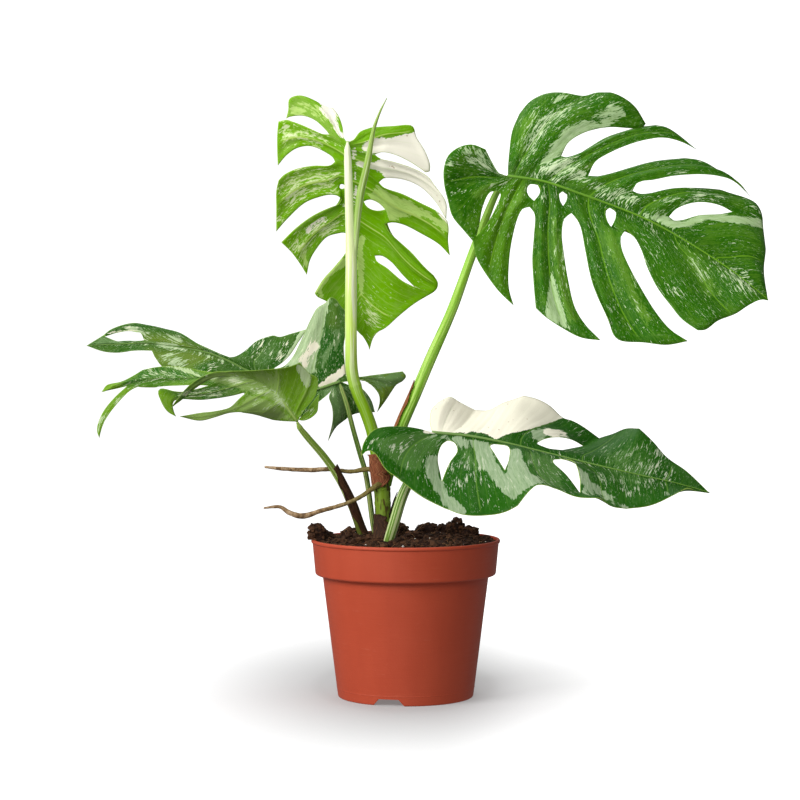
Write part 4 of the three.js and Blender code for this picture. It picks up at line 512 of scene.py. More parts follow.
        ("pale", 0.95, 2.5, -216, 297, -204, 297, -181, 288, -185, 286, -199, 291),
    ),
    "leaf_e": (
        ("pale", 1, 3, -110, 298, -98, 324, -84, 351, -66, 364, -71, 340, -76, 319, -78, 304, -80, 288,
            -93, 294),
        ("cream", 0.85, 4, -98, 303, -81, 322, -76, 314, -91, 294),
        ("tone", 0.35, 4, -66, 360, -61, 355, -61, 311, -70, 290, -79, 279, -79, 294, -70, 329),
        ("cream", 1, 2.5, -80, 279, -68, 289, -54, 300, -54, 290, -62, 282, -77, 275),
        ("fleck", 0.55, 6, -94, 258, -77, 276, -61, 282, -70, 271, -86, 264),
        ("fleck", 0.42, 8, -151, 303, -134, 322, -116, 325, -91, 329, -102, 297, -143, 292),
        ("pale", 0.65, 4, -262, 329, -246, 333, -233, 329, -217, 328, -188, 315, -172, 305, -203, 317,
            -224, 325, -242, 327),
        ("cream", 0.45, 3, -273, 325, -256, 332, -238, 330, -240, 328, -260, 327),
        ("tone", 0.75, 4, -238, 327, -206, 323, -185, 313, -192, 311, -233, 319),
        ("tone", 0.75, 4, -231, 311, -185, 310, -169, 303, -192, 294, -221, 296),
        ("pale", 0.45, 4, -231, 311, -185, 310, -178, 303, -192, 294, -221, 296),
        ("pale", 0.6, 3, -240, 320, -212, 319, -178, 308, -136, 293, -145, 292, -185, 307, -217, 313,
            -242, 313),
        ("tone", 0.8, 5, -43, 289, 3, 294, 2, 281, -23, 254, -28, 279),
        ("soft_green_and_sheen", 0.85, 6, -41, 288, 2, 294, -2, 281, -23, 276),
        ("soft_green_and_sheen", 0.95, 6, -76, 280, -50, 278, -55, 249, -70, 228),
        ("pale", 0.42, 8, -76, 280, -50, 278, -55, 249, -70, 228),
        ("soft_green_and_sheen", 0.85, 6, -52, 278, -27, 278, -24, 252, -44, 254),
        ("fleck", 0.45, 8, -192, 303, -167, 304, -138, 294, -167, 288, -192, 290),
        ("fleck", 0.35, 30, -292, 347, -50, 365, 13, 294, -77, 229, -239, 276),
        ("tone", 0, 3, -80, 331, -72, 333, -55, 329, -54, 295, -68, 288, -79, 277, -81, 288, -79, 306,
            -81, 320),
        ("soft_green_and_sheen", 0.95, 3, -89, 328, -81, 329, -85, 320, -90, 316),
        ("soft_green_and_sheen", 0.8, 3, -88, 303, -80, 304, -80, 293, -85, 289, -88, 295),
        ("soft_green_and_sheen", 0.95, 2.5, -74, 309, -65, 320, -63, 318, -68, 308, -70, 302, -74, 294, -77, 297),
        ("soft_green_and_sheen", 0.95, 2.5, -64, 331, -58, 331, -58, 322, -63, 309, -64, 312, -63, 320),
        ("soft_green_and_sheen", 0.9, 2.5, -78, 329, -72, 331, -72, 326, -77, 319, -79, 322),
        ("fleck", 0.3, 4, -78, 329, -55, 328, -54, 301, -77, 281, -79, 306),
        ("tone", 0.15, 3, -278, 312, -267, 317, -252, 316, -247, 311, -257, 309, -267, 309),
        ("soft_green_and_sheen", 0.8, 3, -283, 316, -273, 324, -262, 320, -247, 318, -230, 320, -216, 317, -195, 311,
            -174, 306, -172, 304, -195, 309, -230, 315, -256, 316, -274, 315),
        ("tone", 0.1, 3, -189, 297, -171, 303, -165, 296, -179, 290, -188, 294),
    ),
}

# Stations of each stem: x, z, depth, radius
STEMS = {
    "main_stem": (-21.5, 108.5, -9, 7.2, -21.3, 132, -9, 7.4, -20.4, 154, -8, 7.3, -20.6, 172, -7, 7.1,
        -21.3, 186, -6, 7.4, -23, 196, -6, 7.7, -24.6, 206, -6, 6.4),
    "petiole_a": (-24, 200, -6, 5.4, -26.7, 221.5, -7, 5.6, -30.3, 239.5, -7, 5.6, -36.6, 257.5, -7, 5.5,
        -43.7, 274.5, -7, 5.4, -48.2, 291.5, -7, 5.6, -49.1, 320, -7, 5.3, -49.1, 356, -7, 5.3,
        -49, 392, -7, 5, -49.9, 419, -7, 4.1, -50.8, 446, -7, 3.8, -51.7, 477, -7, 3.5, -52.2, 490, -5, 2.8,
        -52, 497, -1.6, 1.2),
    "petiole_b": (-17.5, 190, -5, 4.6, -12.3, 214.5, -3, 5.6, -5.1, 239.5, 0, 5.4, 8.4, 271, 5, 5.2,
        21.8, 302.5, 9, 5.1, 41.6, 347.5, 15, 4.6, 57.7, 392, 20, 4.1, 71.1, 428, 24, 3.6, 81.8, 453, 23, 3,
        89.4, 463.5, 17, 2.4, 91.6, 466.8, 12.6, 1.2),
    "petiole_c": (-18, 108.5, -31, 4.4, -16.8, 132, -31, 4.6, -9.6, 158.5, -31, 4.9, -3.3, 179, -31, 4.8,
        4.8, 197, -31, 4.3, 12.9, 214.5, -30, 3.8, 20, 228, -28, 3.2, 23.7, 235.4, -26, 1.4),
    "petiole_d": (-33, 108.5, 23, 4.2, -35.5, 138, 21, 4.3, -40.2, 149.5, 19, 4.2, -48.3, 172, 13, 4,
        -59.1, 194.5, 6, 3.6, -72.5, 214.5, -3, 3.2, -87.8, 232.5, -14, 2.9, -95, 241.5, -20, 2.5,
        -97.4, 246.4, -22.4, 1.2),
    "petiole_e": (-25, 108.5, 14, 2.6, -25.8, 140.5, 14, 2.6, -28.5, 150, 14, 2.5, -35.7, 199, 17, 2.4,
        -42, 221.5, 20, 2.3, -48.2, 244, 24, 2.2, -52.7, 262, 28, 2.1, -57.2, 275.5, 32, 1.9,
        -58.9, 280.6, 33.7, 1),
    "new_leaf": (-46.6, 384, -7, 1.2, -45.6, 398, -7.5, 2.4, -43.8, 425, -8, 3, -40.9, 450, -8.5, 3.5,
        -34.7, 477, -9, 3.1, -31, 497, -9, 2.2, -28.4, 510, -9, 1.6, -23, 524.5, -9, 1,
        -16.9, 536.7, -9, 0.4),
    "aerial_root_1": (-29, 203.5, -4, 2.6, -34, 204.3, -2, 2.3, -50, 202.2, 7, 1.9, -60, 203.3, 11, 1.9,
        -68, 204.3, 13, 2, -86, 203.6, 13, 2.1, -108.5, 204.5, 13, 1.8, -126.5, 206.3, 14, 1.1),
    "aerial_root_2": (-21.5, 191, -11, 3, -25, 190, -14, 2.7, -30.3, 186.5, -15, 2.3, -39.3, 180.2, -14, 2,
        -50, 174.7, -13, 1.9, -63.6, 170.2, -12, 1.9, -77, 166.6, -11, 2, -92.4, 162, -10, 2.6,
        -104, 164.8, -10, 2.3, -113, 170.2, -10, 1.6, -127.5, 169.3, -10, 0.9),
}


# Lines and surfaces

def pairs(numbers):
    """Rows of x, z from numbers in one row."""
    return np.reshape(np.asarray(numbers, float), (-1, 2))


def smooth_line(points):
    """Centripetal curve through points, as rows of coordinates."""
    p = np.asarray(points, float)
    if len(p) < 3:
        return p
    q = np.vstack([2 * p[0] - p[1], p, 2 * p[-1] - p[-2]])
    out = [p[:1]]
    for i in range(1, len(q) - 2):
        out.append(curve_part(q[i - 1], q[i], q[i + 1], q[i + 2], np.linspace(0, 1, SPLINE_STEPS + 1)[1:]))
    return np.vstack(out)


def curve_part(a, b, c, d, w):
    """Points of a centripetal curve between b and c, at shares w."""
    ta = 0.0
    tb = ta + max(np.linalg.norm(b - a), 1e-6) ** 0.5
    tc = tb + max(np.linalg.norm(c - b), 1e-6) ** 0.5
    td = tc + max(np.linalg.norm(d - c), 1e-6) ** 0.5
    t = (tb + (tc - tb) * np.asarray(w))[:, None]
    a1 = (tb - t) / (tb - ta) * a + (t - ta) / (tb - ta) * b
    a2 = (tc - t) / (tc - tb) * b + (t - tb) / (tc - tb) * c
    a3 = (td - t) / (td - tc) * c + (t - tc) / (td - tc) * d
    b1 = (tc - t) / (tc - ta) * a1 + (t - ta) / (tc - ta) * a2
    b2 = (td - t) / (td - tb) * a2 + (t - tb) / (td - tb) * a3
    return (tc - t) / (tc - tb) * b1 + (t - tb) / (tc - tb) * b2


def line_length(line):
    return float(np.linalg.norm(np.diff(line, axis=0), axis=1).sum())


def points_along(line, shares):
    """Points at shares of a line's length."""
    d = np.concatenate([[0], np.cumsum(np.linalg.norm(np.diff(line, axis=0), axis=1))])
    if len(line) < 2 or d[-1] < 1e-9:
        return np.repeat(line[:1], len(shares), 0)
    t = np.asarray(shares) * d[-1]
    return np.stack([np.interp(t, d, line[:, k]) for k in range(line.shape[1])], 1)


def rows_per_stretch(lengths, fewest, total):
    """Rows of each stretch of a seam by its length, none with fewer than its fewest."""
    whole = sum(lengths)
    rows = [max(few, int(round(length / whole * total))) for length, few in zip(lengths, fewest)]
    while sum(rows) > total:
        rows[max(range(len(rows)), key=lambda i: rows[i] - fewest[i])] -= 1
    while sum(rows) < total:
        rows[max(range(len(rows)), key=lambda i: lengths[i] / rows[i])] += 1
    return rows


def seam_edges(seam, start):
    """Edge of the lobe before a seam, edge of the lobe after it, and the share where they part."""
    here = np.asarray(start, float)
    stretches = []
    for part in seam[1:]:
        before = smooth_line([here, *pairs(part[0])])
        after = smooth_line([here, *pairs(part[-1])])
        here = after[-1]
        stretches.append((before, after, len(part) == 2))
    last = len(stretches) - 1
    lengths = [max(line_length(b), line_length(a)) for b, a, _ in stretches]
    fewest = [(3 if i < last else 2) if gap else 1 for i, (_, _, gap) in enumerate(stretches)]
    counts = rows_per_stretch(lengths, fewest, ROWS)
    before_rows, after_rows, parted_from, row = [], [], 1.0, 0
    for i, ((before, after, gap), count) in enumerate(zip(stretches, counts)):
        shares = np.arange(count + (i == last)) / count
        before_rows.append(points_along(before, shares))
        after_rows.append(points_along(after, shares))
        if gap and i == last:
            parted_from = row / ROWS
        row += count
    return np.vstack(before_rows), np.vstack(after_rows), parted_from


def seam_depths(seam, own, line, parted_from):
    """Depth along a seam's edge beside the midrib's own. It is level where the edge stays at a point."""
    joined = (seam[0][0] + seam[0][-1]) / 2
    depths = []
    for i, t in enumerate(np.linspace(0, 1, ROWS + 1)):
        parted = min(1, max(0, (t - parted_from) / (1 - parted_from))) if parted_from < 1 else 0
        stays = i > 0 and np.allclose(line[i], line[i - 1])
        depths.append(depths[-1] if stays else joined * t ** 1.2 + (own - joined) * parted ** 1.5)
    return np.array(depths)


def fill_grid(left, right, base, top):
    """A grid between four edges, evened out inside."""
    t = np.linspace(0, 1, len(left))[:, None, None]
    s = np.linspace(0, 1, len(base))[None, :, None]
    grid = (1 - s) * left[:, None] + s * right[:, None] + (1 - t) * base[None] + t * top[None]
    grid -= (1 - s) * (1 - t) * left[0] + s * (1 - t) * right[0]
    grid -= (1 - s) * t * left[-1] + s * t * right[-1]
    for _ in range(RELAX_ROUNDS):
        inner = (grid[:-2, 1:-1] + grid[2:, 1:-1] + grid[1:-1, :-2] + grid[1:-1, 2:]) / 4
        grid[1:-1, 1:-1] = inner
    return grid


def seen(points, depth):
    """Points [x, z] of the front view at their depths, in space."""
    points = np.asarray(points, float)
    depth = np.asarray(depth, float)
    stretch = (depth - EYE[1]) / -EYE[1]
    x = EYE[0] + (points[..., 0] - EYE[0]) * stretch
    z = EYE[2] + (points[..., 1] - EYE[2]) * stretch
    return np.stack([x, depth + 0 * x, z], -1)


def polygon_distance(points, polygon):
    """Distance to a polygon's outline, positive inside."""
    best = np.full(len(points), 1e9)
    inside = np.zeros(len(points), bool)
    for a, b in zip(polygon, np.roll(polygon, -1, 0)):
        ab = b - a
        t = np.clip(((points - a) @ ab) / max(ab @ ab, 1e-9), 0, 1)
        best = np.minimum(best, np.linalg.norm(points - (a + t[:, None] * ab), axis=1))
        crosses = (a[1] > points[:, 1]) != (b[1] > points[:, 1])
        if a[1] != b[1]:
            x = a[0] + (points[:, 1] - a[1]) / (b[1] - a[1]) * ab[0]
            inside ^= crosses & (points[:, 0] < x)
    return np.where(inside, best, -best)


def new_object(name, vertices, faces, uvs=None, smooth=True):
    """A piece from places in millimetres, with a place in the grain for each corner of its faces."""
    mesh = bpy.data.meshes.new(name)
    mesh.from_pydata([tuple(v) for v in np.asarray(vertices) * MM], [], faces)
    if uvs is not None:
        layer = mesh.uv_layers.new(name="grain")
        layer.data.foreach_set("uv", np.asarray(uvs, np.float32).ravel())
    mesh.polygons.foreach_set("use_smooth", [smooth] * len(mesh.polygons))
    mesh.validate()
    piece = bpy.data.objects.new(name, mesh)
    bpy.context.collection.objects.link(piece)
    return piece


def polar(r, angle):
    """x and y at a radius and an angle about the axis."""
    return r * math.cos(angle), r * math.sin(angle)


def round_place(centre, r, angle, side, up):
    """A place on a circle about a centre, in the plane of two directions."""
    return centre + r * (math.cos(angle) * side + math.sin(angle) * up)


def ring_faces(low, high):
    """Faces between two rings of points, one of which may be a single point."""
    count = max(len(low), len(high))
    faces = []
    for j in range(count):
        k = (j + 1) % count
        corners = [low[j % len(low)], low[k % len(low)], high[k % len(high)], high[j % len(high)]]
        faces.append(list(dict.fromkeys(corners)))
    return faces


def add_attribute(piece, name, values):
    attribute = piece.data.attributes.new(name, "FLOAT", "POINT")
    attribute.data.foreach_set("value", np.asarray(values, np.float32))


def add_grain(piece, around, along):
    """Where each point is round a stalk and along it, for stripes that run lengthwise."""
    places = np.stack([np.cos(around), np.sin(around), along], 1)
    attribute = piece.data.attributes.new("grain_place", "FLOAT_VECTOR", "POINT")
    attribute.data.foreach_set("vector", places.astype(np.float32).ravel())
    add_attribute(piece, "share", np.asarray(along) / max(along))


def finish_piece(piece, material, slot, *nodes):
    """Keeps a piece inside the model's box and gives it its material and its place."""
    places = np.empty(3 * len(piece.data.vertices), np.float32)
    piece.data.vertices.foreach_get("co", places)
    places = np.clip(places.reshape(-1, 3), *cad_box)
    piece.data.vertices.foreach_set("co", places.astype(np.float32).ravel())
    piece.data.materials.append(material)
    if nodes:
        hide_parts(*nodes)
    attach(piece, "root")


# Leaves

def midrib_line(leaf):
    """A leaf's midrib in the front view, and its depth at shares of its length."""
    depth = leaf["depth"]
    return smooth_line(pairs(leaf["midrib"])), smooth_line([(i / (len(depth) - 1), d)
                                                            for i, d in enumerate(depth)])


def blade_grids(leaf):
    """Every lobe's side and its grid: places in the front view, and depths."""
    midrib, rib_depths = midrib_line(leaf)
    grids = []
    for side_index, side in enumerate(leaf["sides"]):
        for lobe, margin in enumerate(side["margins"]):
            first, last = side["spans"][lobe], side["spans"][lobe + 1]
            shares = [np.linspace(leaf["nodes"][i], leaf["nodes"][i + 1],
                                  leaf["columns"][i] * COLUMN_FACTOR, endpoint=False)
                      for i in range(first, last)]
            shares = np.concatenate([*shares, [leaf["nodes"][last]]])
            base = points_along(midrib, shares)
            seam = side["seams"][lobe]
            _, left, parted = seam_edges(seam, base[0])
            left_depths = seam_depths(seam, seam[0][-1], left, parted)
            if lobe + 1 < len(side["seams"]):
                seam = side["seams"][lobe + 1]
                right, _, parted = seam_edges(seam, base[-1])
                right_depths = seam_depths(seam, seam[0][0], right, parted)
            else:
                right, right_depths = np.repeat(base[-1:], ROWS + 1, 0), np.zeros(ROWS + 1)
            top = points_along(smooth_line(pairs(margin)), np.linspace(0, 1, len(base)))
            top[0], top[-1] = left[-1], right[-1]
            s = np.linspace(0, 1, len(base))[None, :]
            depth = np.interp(shares, rib_depths[:, 0], rib_depths[:, 1])[None, :]
            depth = depth + (1 - s) * left_depths[:, None] + s * right_depths[:, None]
            grids.append((side_index, fill_grid(left, right, base, top), depth))
    return grids


def merge_grids(leaf):
    """One set of points for all lobes, where points at one place are the same, and the cells between them.

    A point is its place in the front view, depth, way from the midrib, way from its lobe's middle and
    its lobe's width there. A cell is its corners and their places in the grain.
    """
    points, keys, cells = [], {}, []
    first_vein = 0
    for side_index, grid, depths in blade_grids(leaf):
        rows, columns = depths.shape
        steps = np.linalg.norm(np.diff(grid, axis=0), axis=2)
        from_rib = np.vstack([np.zeros(columns), np.cumsum(steps, 0)])
        across = np.linalg.norm(np.diff(grid, axis=1), axis=2).sum(1)
        veins = max(2, int(round(across[rows // 2] / VEIN_SPACING)))
        s = np.linspace(0, 1, columns)
        u = first_vein + s * veins
        first_vein += veins + VEINS_BETWEEN_LOBES
        index = np.zeros((rows, columns), int)
        for i, j in np.ndindex(rows, columns):
            key = tuple(np.round([*grid[i, j], depths[i, j]], 3))
            if key not in keys:
                keys[key] = len(points)
                lateral = (s[j] - 0.5) * across[i]
                points.append((*grid[i, j], depths[i, j], from_rib[i, j], lateral, across[i]))
            index[i, j] = keys[key]
        for i, j in np.ndindex(rows - 1, columns - 1):
            corners = {}
            for a, b in ((i, j), (i, j + 1), (i + 1, j + 1), (i + 1, j)):
                corners.setdefault(int(index[a, b]), (u[b], from_rib[a, b] / 10))
            if len(corners) < 3:
                continue
            order = list(corners)
            if side_index == 1:
                order.reverse()
            cells.append((order, [corners[k] for k in order]))
    return np.array(points), cells


def surface_of(space, cells):
    """Normal and vein number at each point, and the edges of the rim."""
    normals, u_of = np.zeros(space.shape), np.zeros(len(space))
    uses = {}
    for ids, uvs in cells:
        a, b, c = space[ids[0]], space[ids[1]], space[ids[2]]
        n = np.cross(b - a, c - a)
        if len(ids) == 4:
            n = n + np.cross(c - a, space[ids[3]] - a)
        for k, (at, uv) in enumerate(zip(ids, uvs)):
            normals[at] += n
            u_of[at] = uv[0]
            uses[(at, ids[(k + 1) % len(ids)])] = True
    normals /= np.maximum(np.linalg.norm(normals, axis=1), 1e-9)[:, None]
    return normals, u_of, [(a, b) for a, b in uses if (b, a) not in uses]


def way_to_rim(space, rim):
    """Way from each point to the nearest corner or middle of a rim edge."""
    tree = KDTree(2 * len(rim))
    for k, (a, b) in enumerate(rim):
        tree.insert(space[a], 2 * k)
        tree.insert((space[a] + space[b]) / 2, 2 * k + 1)
    tree.balance()
    return np.array([tree.find(p)[2] for p in space])


def relief_heights(space, u_of, edge, rib_distance, lateral, width, relief):
    """How far the upper side stands out, and how far the blade waves."""
    inner = np.clip(edge / RELIEF_FROM_EDGE, 0, 1) * np.clip(rib_distance / RELIEF_FROM_RIB, 0, 1)
    across = lateral / np.maximum(width, 1e-6) + 0.5
    vault = VAULT * relief * np.clip(width / VAULT_FULL_WIDTH, 0, 1) * np.sin(2 * np.pi * across) ** 2
    groove = -GROOVE * np.exp(-(lateral / GROOVE_WIDTH) ** 2)
    quilt = QUILT * np.sin(np.pi * u_of) ** 2
    channel = RIB_CHANNEL * np.clip(rib_distance / RIB_CHANNEL_WIDTH, 0, 1) ** 0.7 - RIB_CHANNEL
    wave = np.array([noise.noise(Vector(p * WAVE_FREQUENCY)) for p in space])
    return (vault + groove + quilt) * inner + channel, wave * WAVE * np.clip(rib_distance / WAVE_START, 0, 1)


def colour_fields(name, flat, tone):
    """How much of each colour a leaf has at its points, from its patches."""
    fields = {kind: np.zeros(len(flat)) for kind in ("pale", "cream", "fleck", "soft_green_and_sheen")}
    fields["tone"] = np.full(len(flat), tone)
    for kind, amount, feather, *outline in PATCHES[name]:
        share = np.clip(0.5 + polygon_distance(flat, pairs(outline)) / (2 * feather), 0, 1)
        if kind == "tone":
            fields[kind] = fields[kind] + (amount - fields[kind]) * share
        else:
            fields[kind] = np.maximum(fields[kind], amount * share)
    return fields


def blade_piece(name, leaf, tone, other_tone, relief):
    """A thin closed blade with quilted panels between its veins, and colour fields on its points."""
    points, cells = merge_grids(leaf)
    flat, rib_distance, lateral, width = points[:, :2], points[:, 3], points[:, 4], points[:, 5]
    space = seen(flat, points[:, 2])
    count = len(space)
    normals, u_of, rim = surface_of(space, cells)
    edge = way_to_rim(space, rim)
    front = 1 if (normals * (EYE - space)).sum(1).mean() > 0 else -1
    upper = front * (1 if tone < 0.5 else -1)
    height, wave = relief_heights(space, u_of, edge, rib_distance, lateral, width, relief)
    middle = space + normals * (upper * height + wave)[:, None]
    low, high = (np.array(corner) / MM for corner in cad_box)
    middle = np.clip(middle, low + BLADE_HALF, high - BLADE_HALF)
    half = MARGIN_HALF + (BLADE_HALF - MARGIN_HALF) * np.clip(edge / MARGIN_TAPER, 0, 1)
    offset = normals * half[:, None]
    faces, all_uvs = [], []
    for ids, uvs in cells:
        faces += [ids, [i + count for i in reversed(ids)]]
        all_uvs += uvs + uvs[::-1]
    for a, b in rim:
        faces.append([b, a, a + count, b + count])
        all_uvs += [(u_of[i], rib_distance[i] / 10) for i in (b, a, a, b)]
    piece = new_object(name + "_blade", np.vstack([middle + offset, middle - offset]), faces, all_uvs)

    fields = colour_fields(name, flat, tone)
    sides = [fields.pop("tone"), np.full(count, other_tone)]
    add_attribute(piece, "tone", np.concatenate(sides if front > 0 else sides[::-1]))
    fields |= {"rib": rib_distance, "lateral": lateral, "edge": edge}
    for field, values in fields.items():
        add_attribute(piece, field, np.tile(values, 2))
    return piece


# Stems

# How far a round stem's end stands out, as a share of its radius
TUBE_END_SHARE = 0.6
# Sheaths: rows along them, facets round them, thickness, gap below them, depth of their tears, curl of
# their edges and height of their wrinkles
SHEATH_STEPS = 36
SHEATH_ARC = 22
SHEATH_THICKNESS = 0.5
SHEATH_GAP = 0.15
SHEATH_TEAR = 0.35
SHEATH_CURL = 1.2
SHEATH_WRINKLE = 0.2


def stem_rings(stations, steps):
    """Centre, radius and two directions across, along a stem's smooth line."""
    data = np.reshape(stations, (-1, 4))
    centres = seen(data[:, :2], data[:, 2])
    ends = np.vstack([2 * centres[0] - centres[1], centres, 2 * centres[-1] - centres[-2]])
    rings = []
    points, radii = [], []
    for i in range(steps + 1):
        at = i / steps * (len(data) - 1)
        k = min(int(at), len(data) - 2)
        w = at - k
        points.append(curve_part(ends[k], ends[k + 1], ends[k + 2], ends[k + 3], [w])[0])
        radii.append(data[k, 3] + (data[k + 1, 3] - data[k, 3]) * w * w * (3 - 2 * w))
    points = np.array(points)
    tangents = np.gradient(points, axis=0)
    side = np.array([1.0, 0, 0])
    for point, radius, along in zip(points, radii, tangents):
        along = along / np.linalg.norm(along)
        side = side - (side @ along) * along
        side = side / np.linalg.norm(side)
        rings.append((point, radius, side, np.cross(along, side)))
    return rings


def tube(name, stations, steps, sides, shape=None):
    """A round piece along a line. shape(share, angle) scales its radius."""
    rings = stem_rings(stations, steps)
    places, faces, uvs = [], [], []
    lengths = np.concatenate([[0], np.cumsum([np.linalg.norm(rings[i + 1][0] - rings[i][0])
                                              for i in range(steps)])])
    angles = np.arange(sides) / sides * 2 * math.pi
    for i, (centre, radius, side, across) in enumerate(rings):
        for angle in angles:
            r = radius * (shape(i / steps, angle) if shape else 1)
            places.append(round_place(centre, r, angle, side, across))
    rows = np.arange(len(places)).reshape(-1, sides).tolist()
    for i in range(steps):
        faces += ring_faces(rows[i], rows[i + 1])
        for j in range(sides):
            uvs += [((j + a) / sides, lengths[i + b] / 10) for a, b in ((0, 0), (1, 0), (1, 1), (0, 1))]
    for ring, at, turn in ((0, rings[0], -1), (steps, rings[-1], 1)):
        centre, radius, side, across = at
        out = np.cross(side, across) * turn * radius * TUBE_END_SHARE
        tip = len(places)
        places.append(centre + out)
        for j in range(sides):
            k = (j + 1) % sides
            a, b = ring * sides + j, ring * sides + k
            faces.append([a, b, tip] if turn > 0 else [b, a, tip])
            uvs += [(j / sides, lengths[ring] / 10)] * 3
    piece = new_object(name, places, faces, uvs)
    along = [*np.repeat(lengths, sides), lengths[0], lengths[-1]]
    around = [*np.tile(angles, steps + 1), 0, 0]
    add_grain(piece, around, along)
    return piece


def sheath_piece(name, stations, start, end, seed):
    """A dry sheath with torn edges, round part of a stem."""
    steps, arc = SHEATH_STEPS, SHEATH_ARC
    rings = stem_rings(stations, steps)
    places, faces, uvs = [], [], []
    for i, (centre, radius, side, across) in enumerate(rings):
        share = i / steps
        tear = [SHEATH_TEAR * noise.noise(Vector((share * 9, seed * 3.1 + k * 5, 0.3))) for k in (0, 1)]
        close = 1 - 0.5 * (2 * abs(share - 0.5)) ** 4
        middle = (start + end) / 2
        low = middle + (start - middle) * (close + tear[0])
        high = middle + (end - middle) * (close + tear[1])
        for layer in (SHEATH_THICKNESS + SHEATH_GAP, SHEATH_GAP):
            for j in range(arc + 1):
                angle = math.radians(low + (high - low) * j / arc)
                curl = SHEATH_CURL * abs(2 * j / arc - 1) ** 6
                wrinkle = SHEATH_WRINKLE * noise.noise(Vector((angle * 4, share * 5, seed)))
                r = radius + layer + curl + wrinkle
                places.append(round_place(centre, r, angle, side, across))
    width = 2 * (arc + 1)
    order = [*range(arc + 1), *range(width - 1, arc, -1)]
    rows = np.arange(len(places)).reshape(-1, width)[:, order].tolist()
    for i in range(steps):
        faces += ring_faces(rows[i], rows[i + 1])
        for j in range(width):
            k = (j + 1) % width
            uvs += [(m / width, row / 8) for m, row in ((j, i), (k, i), (k, i + 1), (j, i + 1))]
    for ring in (0, steps):
        for j in range(arc):
            a, b = ring * width + j, ring * width + j + 1
            c, d = b + arc + 1, a + arc + 1
            faces.append([b, a, d, c] if ring == 0 else [a, b, c, d])
            uvs += [(j / width, ring / 8)] * 4
    piece = new_object(name, places, faces, uvs)
    along = np.linspace(0, np.linalg.norm(rings[-1][0] - rings[0][0]), steps + 1)
    around = np.radians(start + (end - start) * np.tile(np.arange(arc + 1) / arc, 2 * (steps + 1)))
    add_grain(piece, around, np.repeat(along, width))
    return piece


# Materials

def rgb(red, green, blue):
    """A colour given as 0 to 255 in sRGB, as linear light."""
    shares = [c / 255 for c in (red, green, blue)]
    return (*[c / 12.92 if c <= 0.04 else ((c + 0.055) / 1.055) ** 2.4 for c in shares], 1.0)


class Shader:
    """Adds and links the nodes of one material."""

    def __init__(self, name, roughness=0.5, specular=0.5):
        self.material = bpy.data.materials.new(name)
        self.material.use_nodes = True
        self.tree = self.material.node_tree
        self.surface = self.tree.nodes["Principled BSDF"]
        self.surface.inputs["Roughness"].default_value = roughness
        self.surface.inputs["Specular IOR Level"].default_value = specular

    def put(self, socket, value):
        """Links another node's value to a socket, or sets it to a plain one."""
        if isinstance(value, bpy.types.NodeSocket):
            self.tree.links.new(value, socket)
        else:
            socket.default_value = value

    def node(self, kind, inputs=(), **settings):
        made = self.tree.nodes.new("ShaderNode" + kind)
        for key, value in settings.items():
            setattr(made, key, value)
        for key, value in dict(inputs).items():
            self.put(made.inputs[key], value)
        return made

    def attribute(self, name, output="Fac"):
        return self.node("Attribute", attribute_name=name).outputs[output]

    def place(self):
        """Place on the object, in metres."""
        return self.node("TexCoord").outputs["Object"]

    def stretch(self, vector, scale, offset=(0, 0, 0)):
        return self.node("Mapping", {"Vector": vector, "Scale": scale, "Location": offset}).outputs[0]

    def noise(self, vector, scale=1.0, detail=3.0, roughness=0.5, distortion=0.0):
        """Noise spread over 0 to 1."""
        made = self.node("TexNoise", {"Vector": vector, "Scale": scale, "Detail": detail,
                                      "Roughness": roughness, "Distortion": distortion})
        return self.step(made.outputs[0], 0.3, 0.7, "LINEAR")

    def spread(self, value, start, end):
        """0 to 1 as start to end."""
        return self.step(value, 0, 1, "LINEAR", start, end)

    def times(self, first, second):
        return self.math("MULTIPLY", first, second)

    def step(self, value, low, high, kind="SMOOTHSTEP", start=0.0, end=1.0):
        """A value from low to high as start to end."""
        inputs = {"Value": value, "From Min": low, "From Max": high, "To Min": start, "To Max": end}
        return self.node("MapRange", inputs, interpolation_type=kind).outputs[0]

    def math(self, operation, first, second=0.0, third=0.0):
        made = self.node("Math", {0: first, 1: second, 2: third}, operation=operation)
        return made.outputs[0]

    def weigh(self, *parts):
        """The sum of values, each times its weight."""
        total = 0.0
        for value, weight in parts:
            total = self.math("MULTIPLY_ADD", value, weight, total)
        return total

    def mix(self, first, second, share):
        made = self.node("Mix", {"Factor": share}, data_type="RGBA")
        self.put(made.inputs[6], first)
        self.put(made.inputs[7], second)
        return made.outputs[2]

    def ramp(self, value, stops, kind="LINEAR"):
        made = self.node("ValToRGB", {"Fac": value})
        made.color_ramp.interpolation = kind
        elements = made.color_ramp.elements
        for i, (at, colour) in enumerate(stops):
            element = elements[i] if i < 2 else elements.new(at)
            element.position = at
            element.color = colour
        return made.outputs[0]

    def bump(self, height, distance, strength=1.0):
        made = self.node("Bump", {"Height": height, "Distance": distance, "Strength": strength})
        self.put(self.surface.inputs["Normal"], made.outputs[0])

    def finish(self, colour, roughness=None):
        self.put(self.surface.inputs["Base Color"], colour)
        if roughness is not None:
            self.put(self.surface.inputs["Roughness"], roughness)
        return self.material


